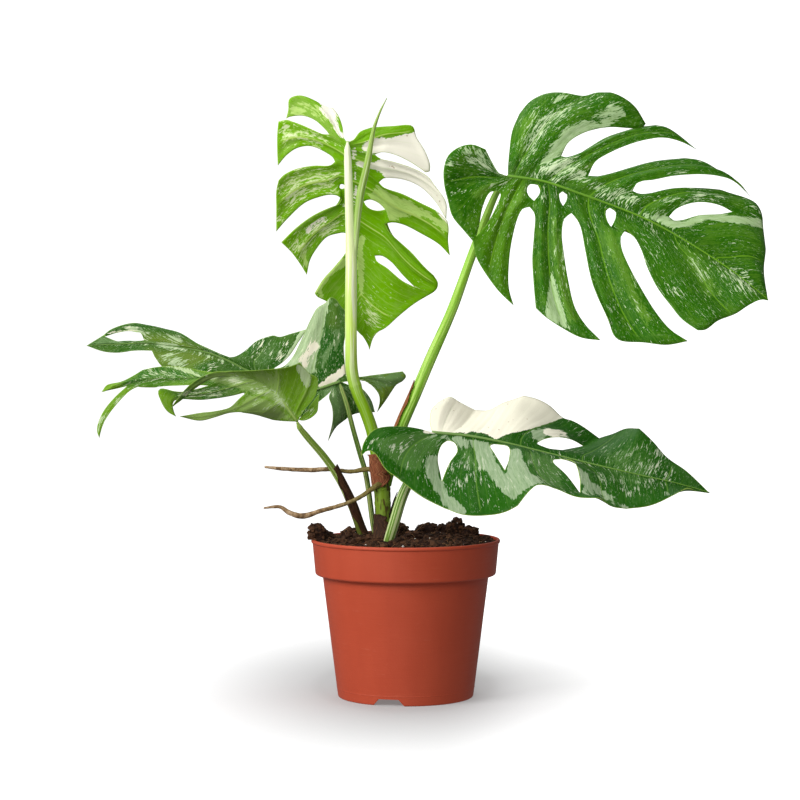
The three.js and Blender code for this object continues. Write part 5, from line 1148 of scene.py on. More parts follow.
def leaf_material(name, looks, seed):
    """Green blade with streaks of paler green and cream that follow its veins, painted shade beside its
    midrib and main veins, and soft grey-green patches that are partly a painted sheen.
    """
    shader = Shader(name, specular=looks["shine"])
    grain = shader.node("UVMap", uv_map="grain").outputs[0]
    place = shader.place()
    broad = shader.noise(shader.stretch(grain, (0.8, 0.2, 1), (seed, 0, 0)), 1, 4, 0.6, 0.5)
    fine = shader.noise(shader.stretch(grain, (3.2, 0.85, 1), (0, seed, 0)), 1, 4, 0.7, 0.6)
    strokes = shader.noise(shader.stretch(grain, (7.5, 2.0, 1), (seed, seed, 0)), 1, 3, 0.7, 0.3)
    clouds = shader.noise(place, 45, detail=4, roughness=0.6)
    mottle = shader.step(shader.weigh((broad, 0.14), (fine, 0.38), (strokes, 0.3), (clouds, 0.18)),
                         0.22, 0.78, "LINEAR")
    streaky = looks["streaky"]
    blotch = shader.step(shader.weigh((broad, 0.3), (fine, 0.14), (clouds, 0.56)), 0.22, 0.78, "LINEAR")
    blotch = shader.weigh((mottle, streaky), (blotch, 1 - streaky))

    def field(name, threshold, width, scale=1.0):
        threshold = shader.spread(threshold, 0.05, 0.95)
        above = shader.math("SUBTRACT", shader.times(shader.attribute(name), scale), threshold)
        return shader.step(above, -width, width)

    tone = shader.math("ADD", shader.attribute("tone"), shader.spread(clouds, -0.12, 0.12))
    green = shader.mix(looks["deep"], looks["bright"], tone)
    # Painted shade: the green is darkened beside the midrib and the main veins, where the relief's shade
    # falls.
    painted_rib_shade = shader.step(shader.attribute("rib"), 2.0, 24.0, start=looks["shade"], end=0.0)
    painted_vein_shade = shader.step(shader.math("ABSOLUTE", shader.attribute("lateral")), 0.5, 8.0,
                              start=0.7 * looks["shade"], end=0.0)
    shade = shader.node("HueSaturation", {"Color": green, "Value": 0.62}).outputs[0]
    green = shader.mix(green, shade, shader.math("MAXIMUM", painted_rib_shade, painted_vein_shade))
    marbling = shader.weigh((fine, 0.45), (strokes, -0.35), (clouds, 0.3))
    marbled = shader.step(marbling, 0.14, 0.4, start=0, end=looks["marbling"])
    # Soft grey-green patches: partly the leaf's own colour and partly a painted sheen where the blade catches
    # light.
    soft_and_sheen_patches = shader.times(field("soft_green_and_sheen", mottle, 0.12), 0.85)
    green = shader.mix(shader.mix(green, looks["soft_green_and_sheen"], marbled), looks["soft_green_and_sheen"], soft_and_sheen_patches)

    worn = shader.step(fine, 0.25, 0.8, start=0, end=0.7)
    soft_pale = shader.mix(looks["pale"], looks["soft_green_and_sheen"], shader.times(worn, strokes))
    mottled = shader.mix(green, soft_pale, field("pale", blotch, 0.04, 0.96))
    specks = shader.noise(shader.stretch(grain, (10, 3.4, 1), (seed, 7, 0)), detail=2, roughness=0.6)
    specks = shader.times(shader.step(specks, 0.74, 0.84, start=0, end=looks["specks"]),
                         shader.step(broad, 0.3, 0.7))
    mottled = shader.mix(mottled, looks["pale"], specks)
    mottled = shader.mix(mottled, looks["pale"], field("fleck", mottle, 0.03, looks["flecks"]))
    spark = shader.times(field("fleck", mottle, 0.04, looks["flecks"] * 0.78), looks["spark"])
    mottled = shader.mix(mottled, looks["cream"], spark)
    white = field("cream", blotch, 0.05)
    mottled = shader.mix(mottled, looks["cream"], white)
    marks = shader.noise(shader.stretch(grain, (1.1, 1.6, 1), (seed, 3, 0)), detail=2, roughness=0.8)
    marks = shader.times(shader.step(marks, 0.97, 1.0, start=0, end=0.6), white)
    mottled = shader.mix(mottled, rgb(168, 138, 96), marks)

    across = shader.node("SeparateXYZ", {0: grain}).outputs[0]
    from_vein = shader.math("ABSOLUTE", shader.math("SUBTRACT", across, shader.math("ROUND", across)))
    vein = shader.step(from_vein, 0.015, 0.09, start=looks["veining"], end=0.0)
    main = shader.step(shader.math("ABSOLUTE", shader.attribute("lateral")), 0.3, 1.0,
                       start=3 * looks["veining"], end=0.0)
    veins = shader.times(shader.math("MAXIMUM", vein, main),
                        shader.step(shader.attribute("edge"), 1.0, 12.0))
    veins = shader.times(veins, shader.step(white, 0, 1, start=1, end=0.25))
    veined = shader.mix(mottled, looks["vein"], veins)
    rim = shader.step(shader.attribute("edge"), 0.2, 0.8, start=0.6, end=0.0)
    colour = shader.mix(veined, looks["margin"], rim)
    shader.bump(shader.weigh((veins, -0.6), (strokes, 0.25)), 0.0004, 0.4)
    gloss = looks["gloss"]
    return shader.finish(colour, shader.spread(fine, gloss - 0.05, gloss + 0.1))


def stalk_material(name, stops, stripe, stripe_share, seed, gloss=0.4, foot=1.0, run=0.009):
    """Stalk whose colour changes along it, with fine lengthwise stripes."""
    shader = Shader(name, specular=0.15)
    place = shader.attribute("grain_place", "Vector")
    base = shader.ramp(shader.attribute("share"), stops)
    stripes = shader.noise(shader.stretch(place, (1.6, 1.6, run), (seed, 0, 0)), 1.8, 0.5, 0.5)
    striped = shader.step(stripes, 0.95 - stripe_share, 1.15 - stripe_share, start=0, end=0.85)
    striped = shader.times(striped, shader.step(shader.attribute("share"), 0.2, 0.5, start=foot))
    base = shader.mix(base, stripe, striped)
    darker = shader.noise(shader.stretch(place, (1.1, 1.1, 0.012), (0, seed, 0)), 1.7, 0.0)
    shade = shader.node("HueSaturation", {"Color": base, "Value": 0.72, "Saturation": 1.15}).outputs[0]
    base = shader.mix(base, shade, shader.step(darker, 0.5, 0.95, start=0, end=0.5))
    fine = shader.noise(shader.stretch(place, (4, 4, 0.02)), 1.6, 0.0)
    shader.bump(fine, 0.0003, 0.35)
    return shader.finish(base, shader.spread(darker, gloss - 0.06, gloss + 0.12))


def root_material():
    """Corky skin, greener near the stem."""
    shader = Shader("root_skin", specular=0.3)
    place = shader.place()
    patches = shader.noise(place, 210, detail=4, roughness=0.6)
    along = shader.stretch(shader.attribute("grain_place", "Vector"), (0.3, 0.3, 0.35))
    rings = shader.noise(along, 2.4, detail=2)
    colour = shader.ramp(patches, [(0.15, rgb(104, 78, 48)), (0.85, rgb(196, 168, 134)),
                                   (0.5, rgb(152, 122, 86))])
    colour = shader.mix(colour, rgb(96, 70, 44), shader.step(rings, 0.6, 0.95, start=0, end=0.4))
    green = shader.step(shader.attribute("share"), 0.15, 0.6, start=0.8, end=0.0)
    colour = shader.mix(colour, rgb(106, 98, 36), green)
    shader.bump(shader.math("ADD", rings, patches), 0.0006, 0.7)
    return shader.finish(colour, shader.spread(patches, 0.6, 0.85))


def sheath_material(name, dark, middle, light):
    """Dry papery skin with streaks along it."""
    shader = Shader(name, specular=0.2)
    place = shader.attribute("grain_place", "Vector")
    streaks = shader.noise(shader.stretch(place, (5, 5, 0.03)), 2.0, detail=4, roughness=0.6)
    blotch = shader.noise(shader.place(), 120, detail=3)
    colour = shader.ramp(streaks, [(0.1, dark), (0.95, light), (0.5, middle)])
    colour = shader.mix(colour, dark, shader.times(blotch, 0.45))
    shader.bump(streaks, 0.0006, 0.8)
    return shader.finish(colour, shader.spread(streaks, 0.55, 0.8))


def plastic_material():
    """Moulded terracotta-coloured plastic, a little dusty, with faint flow streaks."""
    shader = Shader("moulded_plastic", specular=0.3)
    place = shader.place()
    clouds = shader.noise(place, 14, detail=3)
    grain = shader.noise(place, 900, detail=2)
    flow = shader.noise(shader.stretch(place, (60, 60, 7)), 1.0, detail=3)
    scuffs = shader.noise(shader.stretch(place, (40, 40, 420)), 1.0, detail=4, roughness=0.7)
    colour = shader.mix(rgb(184, 72, 44), rgb(190, 78, 50), clouds)
    colour = shader.mix(colour, rgb(170, 64, 40), shader.times(flow, 0.3))
    colour = shader.mix(colour, rgb(206, 128, 100), shader.step(scuffs, 0.88, 1.0, start=0, end=0.15))
    shader.bump(shader.math("ADD", shader.times(grain, 0.5), scuffs), 0.00025, 0.25)
    return shader.finish(colour, shader.step(shader.math("ADD", clouds, scuffs), 0, 2, "LINEAR", 0.4, 0.6))


def earth_material():
    """Dark crumbly soil."""
    shader = Shader("potting_mix", roughness=0.95, specular=0.2)
    place = shader.place()
    crumbs = shader.noise(place, 260, detail=5, roughness=0.7)
    clods = shader.noise(place, 60, detail=4)
    colour = shader.ramp(crumbs, [(0.1, rgb(26, 14, 9)), (0.95, rgb(96, 62, 40)), (0.55, rgb(50, 28, 18))])
    colour = shader.mix(colour, rgb(34, 20, 13), shader.times(clods, 0.5))
    shader.bump(crumbs, 0.0015, 0.9)
    return shader.finish(colour)


def grains_material(name, dark, light, roughness=0.9):
    """Loose grains, each with a shade of its own."""
    shader = Shader(name, roughness=roughness, specular=0.25)
    fine = shader.noise(shader.place(), 700, detail=4, roughness=0.65)
    share = shader.weigh((fine, 0.4), (shader.attribute("shade"), 0.6))
    shader.bump(fine, 0.0008, 0.8)
    return shader.finish(shader.mix(dark, light, share))


# Pot and soil

RIM_RADIUS = 85.0
POT_HEIGHT = 141.7
FOOT_RADIUS = 61.0
BODY_TOP_RADIUS = 74.9
COLLAR_FOOT_RADIUS = 81.3
COLLAR_FOOT = 110.0
WALL = 1.7
FLOOR_THICKNESS = 2.4
RIM_LIP = 1.2
PAD_RADIUS = 22.0
GUTTER_HEIGHT = 7.0
GUTTER_TOP = GUTTER_HEIGHT + FLOOR_THICKNESS
FOOT_RING = 2.0
NOTCH_ANGLES = (-104.5, 15.5, 135.5)
NOTCH_FOOT_WIDTH = 27.0
NOTCH_TOP_WIDTH = 18.0
NOTCH_HEIGHT = 6.0
DRAIN_HOLES = 6
DRAIN_HOLE_RADIUS = 5.5
DRAIN_CIRCLE_RADIUS = 41.0
POT_SEGMENTS = 180
SHARP_ANGLE = 35
MOULD_LINE_HEIGHT = 8.5
# How the ridge where the mould's parts meet rises and stands out
MOULD_LINE = ((-0.8, 0), (-0.3, 0), (0, 0.14), (0.3, 0), (0.8, 0))
SOIL_LEVEL = 138.5
SOIL_SEGMENTS = 300
SOIL_TOP_RINGS = 78
SOIL_INNERMOST = 0.6
CLEARANCE = 0.3
# Where the flat beside a rounded corner begins, in radii of the corner
FLAT_FROM = 1.4


def outside_radius(z):
    """The pot's outer radius at a height."""
    if z < COLLAR_FOOT:
        return FOOT_RADIUS + (BODY_TOP_RADIUS - FOOT_RADIUS) * z / COLLAR_FOOT
    top = RIM_RADIUS - RIM_LIP
    return COLLAR_FOOT_RADIUS + (top - COLLAR_FOOT_RADIUS) * (z - COLLAR_FOOT) / (POT_HEIGHT - COLLAR_FOOT)


def inside_radius(z):
    """The pot's inner radius at a height."""
    at = min(z, COLLAR_FOOT - 0.01) if z < COLLAR_FOOT + WALL else z
    return outside_radius(at) - WALL


def rounded(profile, steps=3):
    """A profile of (r, z, corner radius) with its corners rounded off.

    A point beyond each end of a corner keeps the flat beside it flat in smooth shading.
    """
    out = []
    for i, (r, z, radius) in enumerate(profile):
        here = np.array([r, z])
        if radius == 0 or i in (0, len(profile) - 1):
            out.append(here)
            continue
        before, after = np.array(profile[i - 1][:2]), np.array(profile[i + 1][:2])
        back = (before - here) / np.linalg.norm(before - here) * radius
        ahead = (after - here) / np.linalg.norm(after - here) * radius
        out.append(here + FLAT_FROM * back)
        for t in np.linspace(0, 1, steps + 1):
            out.append(here + (1 - t) ** 2 * back + t * t * ahead)
        out.append(here + FLAT_FROM * ahead)
    return out


def lathe(name, profile, segments):
    """A turned piece from a profile of r and z, closed where the profile starts or ends on the axis."""
    places, faces, rings = [], [], []
    for r, z in profile:
        count = 1 if r == 0 else segments
        rings.append(list(range(len(places), len(places) + count)))
        places += [(*polar(r, j / segments * 2 * math.pi), z) for j in range(count)]
    for low, high in zip(rings, rings[1:]):
        faces += ring_faces(low, high)
    return new_object(name, places, faces)


def sharpen(piece, degrees):
    """Marks the edges sharper than an angle, so that smooth shading stops at them."""
    work = bmesh.new()
    work.from_mesh(piece.data)
    for edge in work.edges:
        edge.smooth = edge.calc_face_angle(0) < math.radians(degrees)
    work.to_mesh(piece.data)
    work.free()


def subtract(piece, cutters):
    """Cuts the cutters out of a piece and removes them."""
    for cutter in cutters:
        modifier = piece.modifiers.new("cut", "BOOLEAN")
        modifier.operation = "DIFFERENCE"
        modifier.solver = "EXACT"
        modifier.object = cutter
    bpy.context.view_layer.update()
    evaluated = piece.evaluated_get(bpy.context.evaluated_depsgraph_get())
    mesh = bpy.data.meshes.new_from_object(evaluated)
    piece.modifiers.clear()
    piece.data = mesh
    for cutter in cutters:
        bpy.data.objects.remove(cutter)


def notch_cutter(angle):
    """A wedge that cuts a notch into the foot ring."""
    turn = math.radians(angle + 90)
    outline = [(-NOTCH_FOOT_WIDTH / 2 - 1.5, -1), (NOTCH_FOOT_WIDTH / 2 + 1.5, -1),
               (NOTCH_TOP_WIDTH / 2, NOTCH_HEIGHT), (-NOTCH_TOP_WIDTH / 2, NOTCH_HEIGHT)]
    places = []
    for out in (FOOT_RADIUS - 14, FOOT_RADIUS + 6):
        for x, z in outline:
            places.append((x * math.cos(turn) + out * math.sin(turn),
                           x * math.sin(turn) - out * math.cos(turn), z))
    faces = [[3, 2, 1, 0], [4, 5, 6, 7], [0, 1, 5, 4], [1, 2, 6, 5], [2, 3, 7, 6], [3, 0, 4, 7]]
    return new_object("notch_cutter", places, faces, smooth=False)


def drain_cutter(index):
    """A cylinder that cuts a drain hole into the floor."""
    x, y = polar(DRAIN_CIRCLE_RADIUS, (index + 0.25) / DRAIN_HOLES * 2 * math.pi)
    cutter = lathe("drain_cutter", [(0, -3), (DRAIN_HOLE_RADIUS, -3), (DRAIN_HOLE_RADIUS, 17), (0, 17)], 32)
    cutter.data.transform(Matrix.Translation((x * MM, y * MM, 0)))
    return cutter


def make_pot():
    """The pot, turned from a profile that runs up its outside and down its inside."""
    ledge = COLLAR_FOOT + WALL
    profile = [
        (0, 0, 0), (PAD_RADIUS, 0, 0.6), (PAD_RADIUS + 3, GUTTER_HEIGHT, 0.6),
        (FOOT_RADIUS - FOOT_RING - 0.4, GUTTER_HEIGHT, 0.6), (FOOT_RADIUS - FOOT_RING, 0, 0.4),
        (FOOT_RADIUS - 0.6, 0, 0.3), (FOOT_RADIUS, 0.8, 0.3),
        *((outside_radius(MOULD_LINE_HEIGHT + rise) + out, MOULD_LINE_HEIGHT + rise, 0)
          for rise, out in MOULD_LINE),
        (BODY_TOP_RADIUS, COLLAR_FOOT, 0.8), (COLLAR_FOOT_RADIUS - 1, COLLAR_FOOT, 0.5),
        (COLLAR_FOOT_RADIUS, COLLAR_FOOT + 1.2, 0.6), (RIM_RADIUS - RIM_LIP, POT_HEIGHT - 3.4, 0.4),
        (RIM_RADIUS, POT_HEIGHT - 2.6, 0.5), (RIM_RADIUS, POT_HEIGHT - 0.8, 0.5),
        (RIM_RADIUS - 0.7, POT_HEIGHT, 0.3), (inside_radius(POT_HEIGHT), POT_HEIGHT, 0.7),
        (inside_radius(ledge + 0.1), ledge, 1.0), (inside_radius(COLLAR_FOOT - 1), ledge, 1.0),
        (inside_radius(GUTTER_TOP), GUTTER_TOP, 1.0), (PAD_RADIUS + 1.4, GUTTER_TOP, 0.6),
        (PAD_RADIUS - 1.6, FLOOR_THICKNESS, 0.6), (0, FLOOR_THICKNESS, 0),
    ]
    pot = lathe("pot_shell", rounded(profile), POT_SEGMENTS)
    cutters = [notch_cutter(angle) for angle in NOTCH_ANGLES]
    cutters += [drain_cutter(i) for i in range(DRAIN_HOLES)]
    subtract(pot, cutters)
    sharpen(pot, SHARP_ANGLE)
    pot.data.materials.clear()
    finish_piece(pot, plastic_material(), "pot", "pot")


# Clods that stand out of the soil: x, y, z, size across and height
CLODS = ((-80, -4, 143.5, 9, 13), (-74, 8, 141, 8, 8), (47, 28, 143, 8, 15), (58, 22, 142, 9, 9),
         (20, 50, 143, 12, 8), (-8, 40, 144, 12, 9), (36, 44, 143, 10, 8), (6, -8, 142, 10, 6),
         (-50, 30, 142, 10, 7))
# The first of them are covered in grains
CRUMBLY_CLODS = 4
# The soil rises by this much within this way from its rim
SOIL_RISE = 3.2
SOIL_RISE_WAY = 25
# Crumbs of the soil's top: height, how close they lie, and where their noise is read
CRUMBS = ((1.1, 0.22, 1.5), (0.9, 0.6, 4), (0.55, 1.4, 9))


def soil_height(x, y):
    """Height of the soil's top, with its clods and crumbs."""
    r = math.hypot(x, y)
    rough = 1.6 * math.sin(x * 0.13 + 0.8) * math.cos(y * 0.16 - 0.4)
    rough += 1.2 * math.sin(x * 0.31 + y * 0.23) + 0.8 * math.cos(y * 0.37 - x * 0.29)
    inwards = min(1, max(0, (inside_radius(SOIL_LEVEL) - r) / SOIL_RISE_WAY))
    z = SOIL_LEVEL + inwards * (SOIL_RISE + rough) + (1 - inwards) * 0.5 * rough
    for cx, cy, cz, across, height in CLODS:
        away = math.hypot(x - cx, y - cy) / across
        if away < 1:
            z = max(z, cz + height * math.sqrt(1 - away * away) * 0.95)
    return z + sum(size * noise.noise(Vector((x * close, y * close, level))) for size, close, level in CRUMBS)


def make_soil():
    """The root ball, clear of the pot's inside, and the soil's top in rings from its rim inwards."""
    inner = inside_radius(SOIL_LEVEL) - 0.25
    low_gap = GUTTER_TOP + CLEARANCE
    ledge = COLLAR_FOOT + WALL + CLEARANCE
    rings = [(PAD_RADIUS - 2.2, FLOOR_THICKNESS + CLEARANCE), (PAD_RADIUS + 0.8, low_gap),
             (inside_radius(GUTTER_TOP) - 0.6, low_gap), (inside_radius(COLLAR_FOOT - 1) - 0.6, ledge),
             (inside_radius(ledge + 0.2) - 0.6, ledge), (inner, SOIL_LEVEL - 3)]
    for i in range(SOIL_TOP_RINGS):
        share = i / SOIL_TOP_RINGS
        rings.append((inner * (1 - share) + SOIL_INNERMOST * share, None))
    places, faces = [], []
    for r, height in rings:
        for j in range(SOIL_SEGMENTS):
            x, y = polar(r, j / SOIL_SEGMENTS * 2 * math.pi)
            places.append((x, y, soil_height(x, y) if height is None else height))
    rows = np.arange(len(places)).reshape(-1, SOIL_SEGMENTS).tolist()
    for low, high in zip(rows, rows[1:]):
        faces += ring_faces(low, high)
    faces += [rows[0][::-1], rows[-1]]
    finish_piece(new_object("soil_body", places, faces), earth_material(), "soil", "soil")


# How far the middle of a grain lies above the soil, as a share of its size
GRAIN_LIFT = 0.25


def on_soil(draw, margin=2.0):
    """A random place on the soil's top."""
    r = (inside_radius(SOIL_LEVEL) - margin) * math.sqrt(draw.random())
    x, y = polar(r, draw.uniform(0, 2 * math.pi))
    return x, y, soil_height(x, y)


def in_clod(draw, x, y, z, across, height):
    """A random place in the upper half of a clod."""
    angle, rise = draw.uniform(0, 2 * math.pi), draw.uniform(-0.2, 1)
    out_x, out_y = polar(across * math.sqrt(max(0, 1 - rise * rise)) * draw.uniform(0.55, 1.0), angle)
    return x + out_x, y + out_y, z + (height - 1.5) * rise


def grains(name, count, sizes, flatness, material, seed, drawn=on_soil):
    """Seeded chips that lie on the soil, in one piece."""
    draw = random.Random(seed)
    lump = bmesh.new()
    bmesh.ops.create_icosphere(lump, subdivisions=1, radius=1)
    shape = np.array([v.co for v in lump.verts])
    triangles = [[v.index for v in face.verts] for face in lump.faces]
    lump.free()
    places, faces, shades = [], [], []
    for _ in range(count):
        x, y, z = drawn(draw)
        size = draw.uniform(*sizes)
        stretch = np.array([draw.uniform(0.7, 1.5), draw.uniform(0.6, 1.0), draw.uniform(*flatness)]) * size
        ragged = np.array([draw.uniform(0.75, 1.2) for _ in shape])
        turn = Vector((draw.uniform(-0.5, 0.5), draw.uniform(-0.5, 0.5), draw.uniform(0, 6.28)))
        matrix = np.array(Euler(turn).to_matrix())
        chip = (shape * ragged[:, None] * stretch) @ matrix.T + [x, y, z + size * GRAIN_LIFT]
        start = len(places)
        places += [tuple(p) for p in chip]
        faces += [[start + i for i in face] for face in triangles]
        shades += [draw.random()] * len(shape)
    piece = new_object(name, places, faces, smooth=False)
    add_attribute(piece, "shade", shades)
    finish_piece(piece, material, "soil")


FIBRE_STEPS = 7
FIBRE_MARGIN = 5
FIBRE_LIFT = 1.6
FIBRE_SIDES = 4


def fibre_line(draw, lengths, width):
    """A random line along the soil, up to the pot's wall, and its radius."""
    x, y, _ = on_soil(draw, FIBRE_MARGIN)
    heading = draw.uniform(0, 2 * math.pi)
    length = draw.uniform(*lengths)
    radius = draw.uniform(0.6, 1) * width
    lift = draw.uniform(0, FIBRE_LIFT)
    line = []
    for i in range(FIBRE_STEPS + 1):
        if math.hypot(x, y) > inside_radius(SOIL_LEVEL) - 2:
            break
        z = soil_height(x, y) + radius * 0.6 + lift * math.sin(math.pi * i / FIBRE_STEPS)
        line.append(np.array([x, y, z]))
        heading += draw.uniform(-0.5, 0.5)
        x += math.cos(heading) * length / FIBRE_STEPS
        y += math.sin(heading) * length / FIBRE_STEPS
    return line, radius


def fibres(name, count, lengths, width, material, seed):
    """Seeded fibres and rootlets that lie on the soil, in one piece."""
    draw = random.Random(seed)
    places, faces, shades = [], [], []
    for _ in range(count):
        line, radius = fibre_line(draw, lengths, width)
        if len(line) < 4:
            continue
        start, last = len(places), len(line) - 1
        for i, point in enumerate(line):
            ahead = line[min(i + 1, last)] - line[max(i - 1, 0)]
            side = np.cross(ahead, [0, 0, 1.0])
            side /= max(np.linalg.norm(side), 1e-9)
            up = np.cross(side, ahead / np.linalg.norm(ahead))
            thin = radius * (1 - 0.5 * i / len(line))
            for k in range(FIBRE_SIDES):
                places.append(tuple(round_place(point, thin, k / FIBRE_SIDES * 2 * math.pi, side, up)))
        shades += [draw.random()] * (len(places) - start)
        rows = np.arange(start, len(places)).reshape(-1, FIBRE_SIDES).tolist()
        for low, high in zip(rows, rows[1:]):
            for k in range(FIBRE_SIDES):
                m = (k + 1) % FIBRE_SIDES
                faces.append([low[k], high[k], high[m], low[m]])
        faces += [rows[0], rows[-1][::-1]]
    piece = new_object(name, places, faces)
    add_attribute(piece, "shade", shades)
    finish_piece(piece, material, "soil")


def make_grains():
    """What lies loose on the soil and on its clods."""
    chips = grains_material("bark_chips", rgb(22, 12, 8), rgb(98, 64, 40))
    grains("soil_bits", 1500, (0.7, 2.6), (0.35, 0.8), chips, seed=11)
    grains("soil_chunks", 60, (3.0, 5.2), (0.4, 0.8), chips, seed=12)
    for number, clod in enumerate(CLODS[:CRUMBLY_CLODS]):
        grains(f"soil_clod_{number}", 90, (1.2, 3.0), (0.5, 1.0), chips, seed=20 + number,
               drawn=lambda draw: in_clod(draw, *clod))
    stones = grains_material("perlite", rgb(196, 188, 172), rgb(246, 243, 236))
    grains("soil_perlite", 60, (0.5, 1.2), (0.7, 1.0), stones, seed=13)
    straw = grains_material("fibres", rgb(62, 38, 24), rgb(176, 132, 88))
    fibres("soil_fibres", 170, (8, 30), 0.28, straw, seed=14)


# The plant

# Looks of leaf_a, leaf_b, leaf_c, leaf_d and leaf_e. tone and other_tone, from deep to bright green,
# are those of the side seen from the front and of the other side. relief is how far panels stand out,
# shade how far painted shade darkens the blade beside the midrib and main veins, soft a grey-green that
# is partly the leaf's own colour and partly a painted sheen, and streaky how far pale patches follow the
# veins.
LEAF_LOOKS = {
    "deep": (rgb(82, 132, 0), rgb(42, 102, 0), rgb(28, 86, 0), rgb(40, 100, 16), rgb(26, 86, 2)),
    "bright": (rgb(114, 176, 0), rgb(98, 148, 6), rgb(92, 134, 66), rgb(110, 156, 26), rgb(116, 142, 44)),
    "soft_green_and_sheen": (rgb(140, 184, 70), rgb(100, 148, 44), rgb(76, 118, 52), rgb(142, 172, 92), rgb(106, 140, 84)),
    "pale": (rgb(188, 220, 120), rgb(184, 212, 156), rgb(152, 172, 136), rgb(190, 210, 160),
             rgb(186, 208, 160)),
    "cream": (rgb(255, 251, 232), rgb(234, 242, 208), rgb(246, 241, 220), rgb(244, 242, 212),
              rgb(250, 242, 220)),
    "vein": (rgb(186, 216, 104), rgb(118, 174, 36), rgb(108, 152, 58), rgb(168, 204, 96),
             rgb(118, 158, 74)),
    "rib": (rgb(190, 210, 140), rgb(112, 160, 60), rgb(120, 152, 84), rgb(150, 176, 92), rgb(124, 154, 90)),
    "margin": (rgb(176, 204, 92), rgb(112, 164, 50), rgb(176, 200, 90), rgb(150, 184, 80),
               rgb(144, 178, 84)),
    "gloss": (0.55, 0.36, 0.36, 0.46, 0.42),
    "shine": (0.05, 0.07, 0.07, 0.07, 0.09),
    "spark": (0.45, 0.5, 0.3, 0.4, 0.6),
    "relief": (0.75, 1.3, 0.3, 0.25, 0.8),
    "flecks": (0.88, 0.86, 0.7, 0.84, 0.78),
    "veining": (0.33, 0.19, 0.15, 0.22, 0.14),
    "marbling": (0.5, 0.4, 0.2, 0.4, 0.25),
    "shade": (0.12, 0.55, 0.6, 0.1, 0.3),
    "specks": (0.12, 0.42, 0.4, 0.3, 0.5),
    "streaky": (0.25, 1, 0.3, 0.5, 0.4),
    "tone": (1, 0, 0, 1, 0.1),
    # leaf_d's other side is paler than its real dark green upper side: painted light on its folded lobes that
    # turn away from the lamps.
    "other_tone": (0, 1, 1, 0.6, 0.9),
}
LEAVES = {"leaf_a": LEAF_A, "leaf_b": LEAF_B, "leaf_c": LEAF_C, "leaf_d": LEAF_D, "leaf_e": LEAF_E}


# Main veins: stations, rings and facets, and radius at foot and tip
RIB_STATIONS = 9
RIB_STEPS = 60
RIB_FACETS = 16
RIB_RADIUS = 1.45
RIB_TIP_RADIUS = 0.3


def leaf_rib(name, leaf):
    """The raised main vein of a leaf, thinner towards its tip."""
    midrib, rib_depths = midrib_line(leaf)
    shares = np.linspace(0, 1, RIB_STATIONS)
    line = points_along(midrib, shares)
    radii = RIB_RADIUS - (RIB_RADIUS - RIB_TIP_RADIUS) * shares ** 0.8
    stations = np.column_stack([line, np.interp(shares, rib_depths[:, 0], rib_depths[:, 1]), radii])
    return tube(name + "_rib", stations, RIB_STEPS, RIB_FACETS)


def make_leaves():
    """Each leaf's blade and main vein."""
    for seed, (name, leaf) in enumerate(LEAVES.items()):
        looks = {key: values[seed] for key, values in LEAF_LOOKS.items()}
        skin = leaf_material(name + "_skin", looks, seed * 7.3 + 2)
        blade = blade_piece(name, leaf, looks["tone"], looks["other_tone"], looks["relief"])
        finish_piece(blade, skin, name, name)
        stops = [(0.0, looks["rib"]), (1.0, looks["vein"])]
        rib_skin = stalk_material(name + "_rib_skin", stops, looks["vein"], 0.3, seed)
        finish_piece(leaf_rib(name, leaf), rib_skin, name, name)


# Thin dark rootlets beside the main stem
ROOTLETS = (
    (-15.5, 160, -11, 1, -12.8, 168, -12.5, 0.9, -10.4, 176, -13, 0.8, -7.6, 183.5, -13, 0.4),
    (-12.6, 168, -12.5, 0.8, -9.2, 171, -13.5, 0.8, -8.4, 176, -14, 0.6, -9.4, 180, -14, 0.3),
    (-13.8, 160, -12, 1, -11, 158, -13.5, 0.9, -8.5, 160.5, -14, 0.4),
)

# Colours along each stalk from its foot to its leaf, the colour of its stripes and their share
STALKS = {
    "main_stem": ([(0.0, rgb(44, 30, 20)), (0.3, rgb(60, 44, 26)), (0.46, rgb(108, 128, 42)),
                   (0.8, rgb(126, 156, 52)), (1.0, rgb(118, 138, 52))], rgb(74, 52, 30), 0.32, 0.6, 1.0),
    "petiole_a": ([(0.0, rgb(112, 152, 16)), (0.24, rgb(132, 178, 22)), (0.45, rgb(216, 244, 126)),
                   (0.72, rgb(242, 255, 190)), (1.0, rgb(246, 255, 210))],
                  rgb(252, 255, 226), 0.4, 0.45, 0.1),
    "petiole_b": ([(0.0, rgb(116, 162, 46)), (0.3, rgb(132, 186, 54)), (0.6, rgb(152, 204, 72)),
                   (1.0, rgb(168, 216, 94))], rgb(182, 218, 108), 0.4, 0.4, 1.0),
    "petiole_c": ([(0.0, rgb(96, 110, 44)), (0.4, rgb(102, 144, 50)), (1.0, rgb(104, 148, 54))],
                  rgb(204, 216, 156), 0.52, 0.45, 1.0),
    "petiole_d": ([(0.0, rgb(74, 54, 30)), (0.35, rgb(106, 120, 46)), (0.7, rgb(124, 156, 56)),
                   (1.0, rgb(144, 176, 74))], rgb(186, 202, 126), 0.4, 0.45, 1.0),
    "petiole_e": ([(0.0, rgb(64, 56, 28)), (0.3, rgb(70, 96, 34)), (1.0, rgb(98, 132, 52))],
                  rgb(164, 178, 104), 0.4, 0.45, 1.0),
    "new_leaf": ([(0.0, rgb(186, 214, 128)), (0.4, rgb(160, 194, 98)), (1.0, rgb(156, 186, 88))],
                 rgb(212, 228, 168), 0.35, 0.4, 1.0),
}
# How fast the stripes change along a stalk, and the brown blotches along the main stem, per mm
STRIPE_RUN = 0.009
STEM_BLOTCH_RUN = 0.06
# Rings of a stem between two of its stations, and facets of shaped and of plain stems
STEM_STEPS = 16
SHAPED_FACETS = 48
PLAIN_FACETS = 28
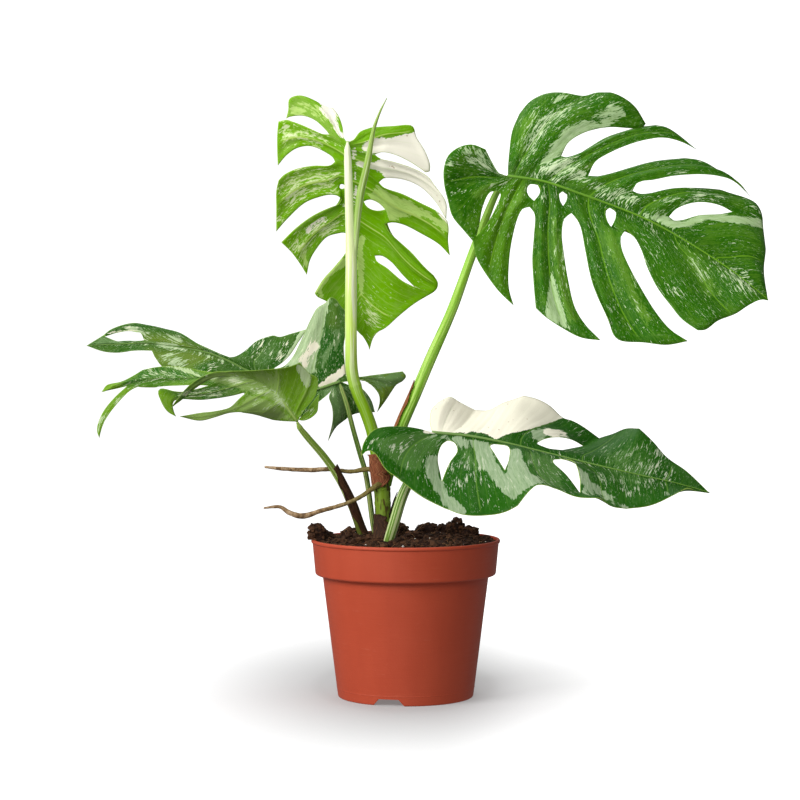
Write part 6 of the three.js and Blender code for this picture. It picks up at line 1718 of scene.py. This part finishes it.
# Rings and facets of roots and rootlets
ROOT_STEPS = 110
ROOT_FACETS = 20
ROOTLET_STEPS = 24
ROOTLET_FACETS = 10
# Shares of the main stem at which old leaves stood, and of petiole_a at which its sheath ends
LEAF_SCARS = (0.34, 0.52, 0.67, 0.82)
RING_HEIGHT_SHARE = 0.33


def stem_swell(share, angle):
    """Old leaf scars ring the main stem."""
    scars = sum(0.06 * math.exp(-((share - at) / 0.018) ** 2) for at in LEAF_SCARS)
    return 1 + scars + 0.03 * noise.noise(Vector((math.cos(angle) * 2, math.sin(angle) * 2, share * 14)))


def ringed(share, angle):
    """A ring where the stalk's sheath ends, and a shallow groove along its front."""
    ring = 0.07 * math.exp(-((share - RING_HEIGHT_SHARE) / 0.008) ** 2)
    groove = 0.06 * math.exp(-((math.degrees(angle) - 250) / 14) ** 2) * (share < 0.85)
    return 1 + ring - groove


def rolled(share, angle):
    """The free edge of a rolled leaf winds up it."""
    turn = (angle / (2 * math.pi) + 0.25 + 0.9 * share) % 1
    return 0.9 + 0.14 * turn ** 0.6 * min(1, 6 * share)


def grooved(share, angle):
    """Low ridges on both sides of a shallow groove that faces the front and left."""
    across = math.degrees(angle) - 235
    ridges = 0.06 * math.exp(-((abs(across) - 24) / 9) ** 2)
    return 1 + ridges - 0.07 * math.exp(-(across / 15) ** 2)


def knobbly(share, angle):
    """Corky lumps."""
    lump = noise.noise(Vector((math.cos(angle) * 0.8, math.sin(angle) * 0.8, share * 30)))
    return 1 + 0.16 * lump


SHAPES = {"main_stem": stem_swell, "petiole_a": ringed, "new_leaf": rolled, "petiole_b": grooved,
          "petiole_c": grooved, "petiole_d": grooved}


def make_stalks():
    """Stalks, the main stem, the rolled leaf, and roots."""
    for seed, (name, (stops, stripe, stripe_share, gloss, foot)) in enumerate(STALKS.items()):
        stations = STEMS[name]
        steps = STEM_STEPS * (len(stations) // 4 - 1)
        sides = SHAPED_FACETS if name in SHAPES else PLAIN_FACETS
        run = STEM_BLOTCH_RUN if name == "main_stem" else STRIPE_RUN
        skin = stalk_material(name + "_skin", stops, stripe, stripe_share, seed * 3.7, gloss, foot, run)
        slot = "stem" if name == "main_stem" else name
        finish_piece(tube(name + "_stalk", stations, steps, sides, SHAPES.get(name)), skin, slot, name)
    roots = root_material()
    for name in ("aerial_root_1", "aerial_root_2"):
        skin = tube(name + "_skin", STEMS[name], ROOT_STEPS, ROOT_FACETS, knobbly)
        finish_piece(skin, roots, "root", name)
    bark = sheath_material("dark_bark", rgb(24, 15, 11), rgb(46, 30, 22), rgb(78, 54, 38))
    for number, stations in enumerate(ROOTLETS):
        rootlet = tube(f"rootlet_{number}", stations, ROOTLET_STEPS, ROOTLET_FACETS, knobbly)
        finish_piece(rootlet, bark, "root")


# Dry sheaths: stations, the part of the round that they cover, and a seed
SHEATHS = {
    "node_sheath": ((-21.6, 189, -6, 8.1, -24, 204, -6, 7.8, -26.8, 219, -7, 6.3), 120, 330, 1),
    "base_sheath": ((-21.4, 140, -9, 8, -20.4, 154, -8, 7.8, -20.5, 164, -7.5, 7.6), 110, 300, 2),
    "petiole_b_sheath": ((-9, 226, -1.5, 5.9, -5.1, 239.5, 0, 5.8, 8.4, 271, 5, 5.6, 13, 282, 6.5, 5.5),
                         130, 235, 3),
    "petiole_d_sheath": ((-36.5, 141, 20.6, 4.7, -40.2, 149.5, 19, 4.6, -48.3, 172, 13, 4.4,
                          -59.1, 194.5, 6, 4, -66, 206, 2, 3.8), -110, 60, 4),
}
# Darkest, middle and palest colour of each sheath
SHEATH_COLOURS = {
    "node_sheath": (rgb(92, 46, 28), rgb(150, 84, 52), rgb(200, 140, 96)),
    "base_sheath": (rgb(36, 22, 15), rgb(66, 42, 27), rgb(110, 76, 48)),
    "petiole_b_sheath": (rgb(104, 58, 34), rgb(158, 96, 58), rgb(196, 140, 92)),
    "petiole_d_sheath": (rgb(40, 24, 16), rgb(76, 48, 30), rgb(132, 90, 56)),
}


def make_sheaths():
    """The dry sheaths round stem and stalks."""
    for name, (stations, start, end, seed) in SHEATHS.items():
        skin = sheath_material(name + "_paper", *SHEATH_COLOURS[name])
        finish_piece(sheath_piece(name + "_skin", stations, start, end, seed=seed), skin, "sheath", name)


# Room, light and camera

FLOOR_RADIUS = 3.0
BACKDROP_BEND = 1.6
BACKDROP_TOP = 5.0
BACKDROP_SEGMENTS = 96
BEND_STEPS = 16
# Reach, squash and shift of the painted shadow that dims the floor's glow round the pot's foot, in metres
PAINTED_SHADOW_REACH = 0.3
PAINTED_SHADOW_SHAPE = (1, 0.55, 1)
PAINTED_SHADOW_OFFSET = (0, -0.035, 0)
# Painted light: the floor glows more to the right, over the shadow that the key lamp casts there: from one x
# to another, and by how much
RIGHT_PAINTED_LIGHT_START = 0.02
RIGHT_PAINTED_LIGHT_END = 0.12
RIGHT_PAINTED_LIGHT = 0.2
# Glow of the floor at shares of its reach: least beside the pot's foot, where it paints the pot's shadow on
# the floor
FLOOR_GLOW_WITH_PAINTED_SHADOW = ((0.26, 0.18), (1.0, 1.0), (0.3, 0.25), (0.37, 0.33), (0.43, 0.39), (0.5, 0.48), (0.57, 0.56),
              (0.65, 0.66), (0.8, 0.82))


def make_backdrop():
    """A pale round floor that curves up into a wall all round, lit a little from within; less glow round the
    pot's foot paints its shadow, and more glow to the right paints light over the lamps' shadow.
    """
    profile = [(0.0, 0.0), (0.5, 0.0)]
    for i in range(BEND_STEPS + 1):
        angle = i / BEND_STEPS * math.pi / 2
        profile.append((FLOOR_RADIUS + BACKDROP_BEND * math.sin(angle),
                        BACKDROP_BEND * (1 - math.cos(angle))))
    profile.append((FLOOR_RADIUS + BACKDROP_BEND, BACKDROP_TOP))
    backdrop = lathe("backdrop", np.array(profile) / MM, BACKDROP_SEGMENTS)
    shader = Shader("pale_floor", roughness=0.9, specular=0.0)
    place = shader.place()
    speck = shader.noise(place, 6, detail=2)
    # Painted shadow: the glow is dimmed within its reach of the pot's foot.
    around = shader.stretch(place, PAINTED_SHADOW_SHAPE, PAINTED_SHADOW_OFFSET)
    away = shader.node("VectorMath", {0: around}, operation="LENGTH").outputs["Value"]
    share = shader.math("DIVIDE", away, PAINTED_SHADOW_REACH)
    glow_with_painted_shadow = shader.ramp(share, [(at, (g, g, g, 1)) for at, g in FLOOR_GLOW_WITH_PAINTED_SHADOW], "B_SPLINE")
    # Painted light: more glow to the right, where the key lamp's shadow falls.
    x = shader.node("SeparateXYZ", {0: place}).outputs[0]
    right = shader.step(x, RIGHT_PAINTED_LIGHT_START, RIGHT_PAINTED_LIGHT_END, start=0, end=RIGHT_PAINTED_LIGHT)
    shader.put(shader.surface.inputs["Emission Color"], shader.math("ADD", glow_with_painted_shadow, right))
    shader.surface.inputs["Emission Strength"].default_value = 1.0
    backdrop.data.materials.append(shader.finish(shader.mix(rgb(166, 166, 166), rgb(169, 169, 169), speck)))
    backdrop.visible_diffuse = False
    backdrop.visible_glossy = False


# Place, aim, size and power of each lamp
LIGHTS = {
    "key": ((-2.2, -1.5, 1.7), (0, 0, 0.25), (1.6, 1.6), 70),
    "fill": ((-0.5, -2.6, 1.6), (0, 0, 0.25), (1.4, 1.2), 26),
    "back": ((-0.4, 1.4, 2.2), (0, 0, 0.3), (1.6, 1.0), 12),
    "top": ((0, 0, 2.4), (0, 0, 0), (1.6, 1.6), 12),
    "bounce": ((-0.9, -2.4, 0.1), (0, 0, 0.35), (1.8, 0.5), 8),
}
SKY_STRENGTH = 0.24


def add_light(name, place, aim, size, power):
    """A lamp that shines from a place towards a point."""
    light = bpy.data.lights.new(name, "AREA")
    light.shape = "RECTANGLE"
    light.size, light.size_y = size
    light.energy = power
    lamp = bpy.data.objects.new(name, light)
    lamp.location = place
    lamp.rotation_euler = (Vector(aim) - Vector(place)).to_track_quat("-Z", "Y").to_euler()
    bpy.context.collection.objects.link(lamp)


def make_light():
    """The lamps, a faint even sky, and colours shown as they are."""
    world = bpy.data.worlds.new("studio")
    bpy.context.scene.world = world
    world.use_nodes = True
    sky = world.node_tree.nodes["Background"].inputs
    sky["Color"].default_value = (1, 1, 1, 1)
    sky["Strength"].default_value = SKY_STRENGTH
    for name, values in LIGHTS.items():
        add_light(name, *values)
    bpy.context.scene.view_settings.view_transform = "Standard"
    bpy.context.scene.view_settings.look = "None"


def make_camera():
    """The camera, level but for a small pitch downwards."""
    camera = bpy.data.cameras.new("camera")
    camera.lens = LENS_MM
    camera.sensor_width = SENSOR_MM
    eye = bpy.data.objects.new("camera", camera)
    eye.location = CAMERA_PLACE
    eye.rotation_euler = (math.radians(90) - CAMERA_PITCH, 0, 0)
    bpy.context.collection.objects.link(eye)
    bpy.context.scene.camera = eye


make_camera()
make_light()
make_backdrop()
make_pot()
make_soil()
make_grains()
make_leaves()
make_stalks()
make_sheaths()
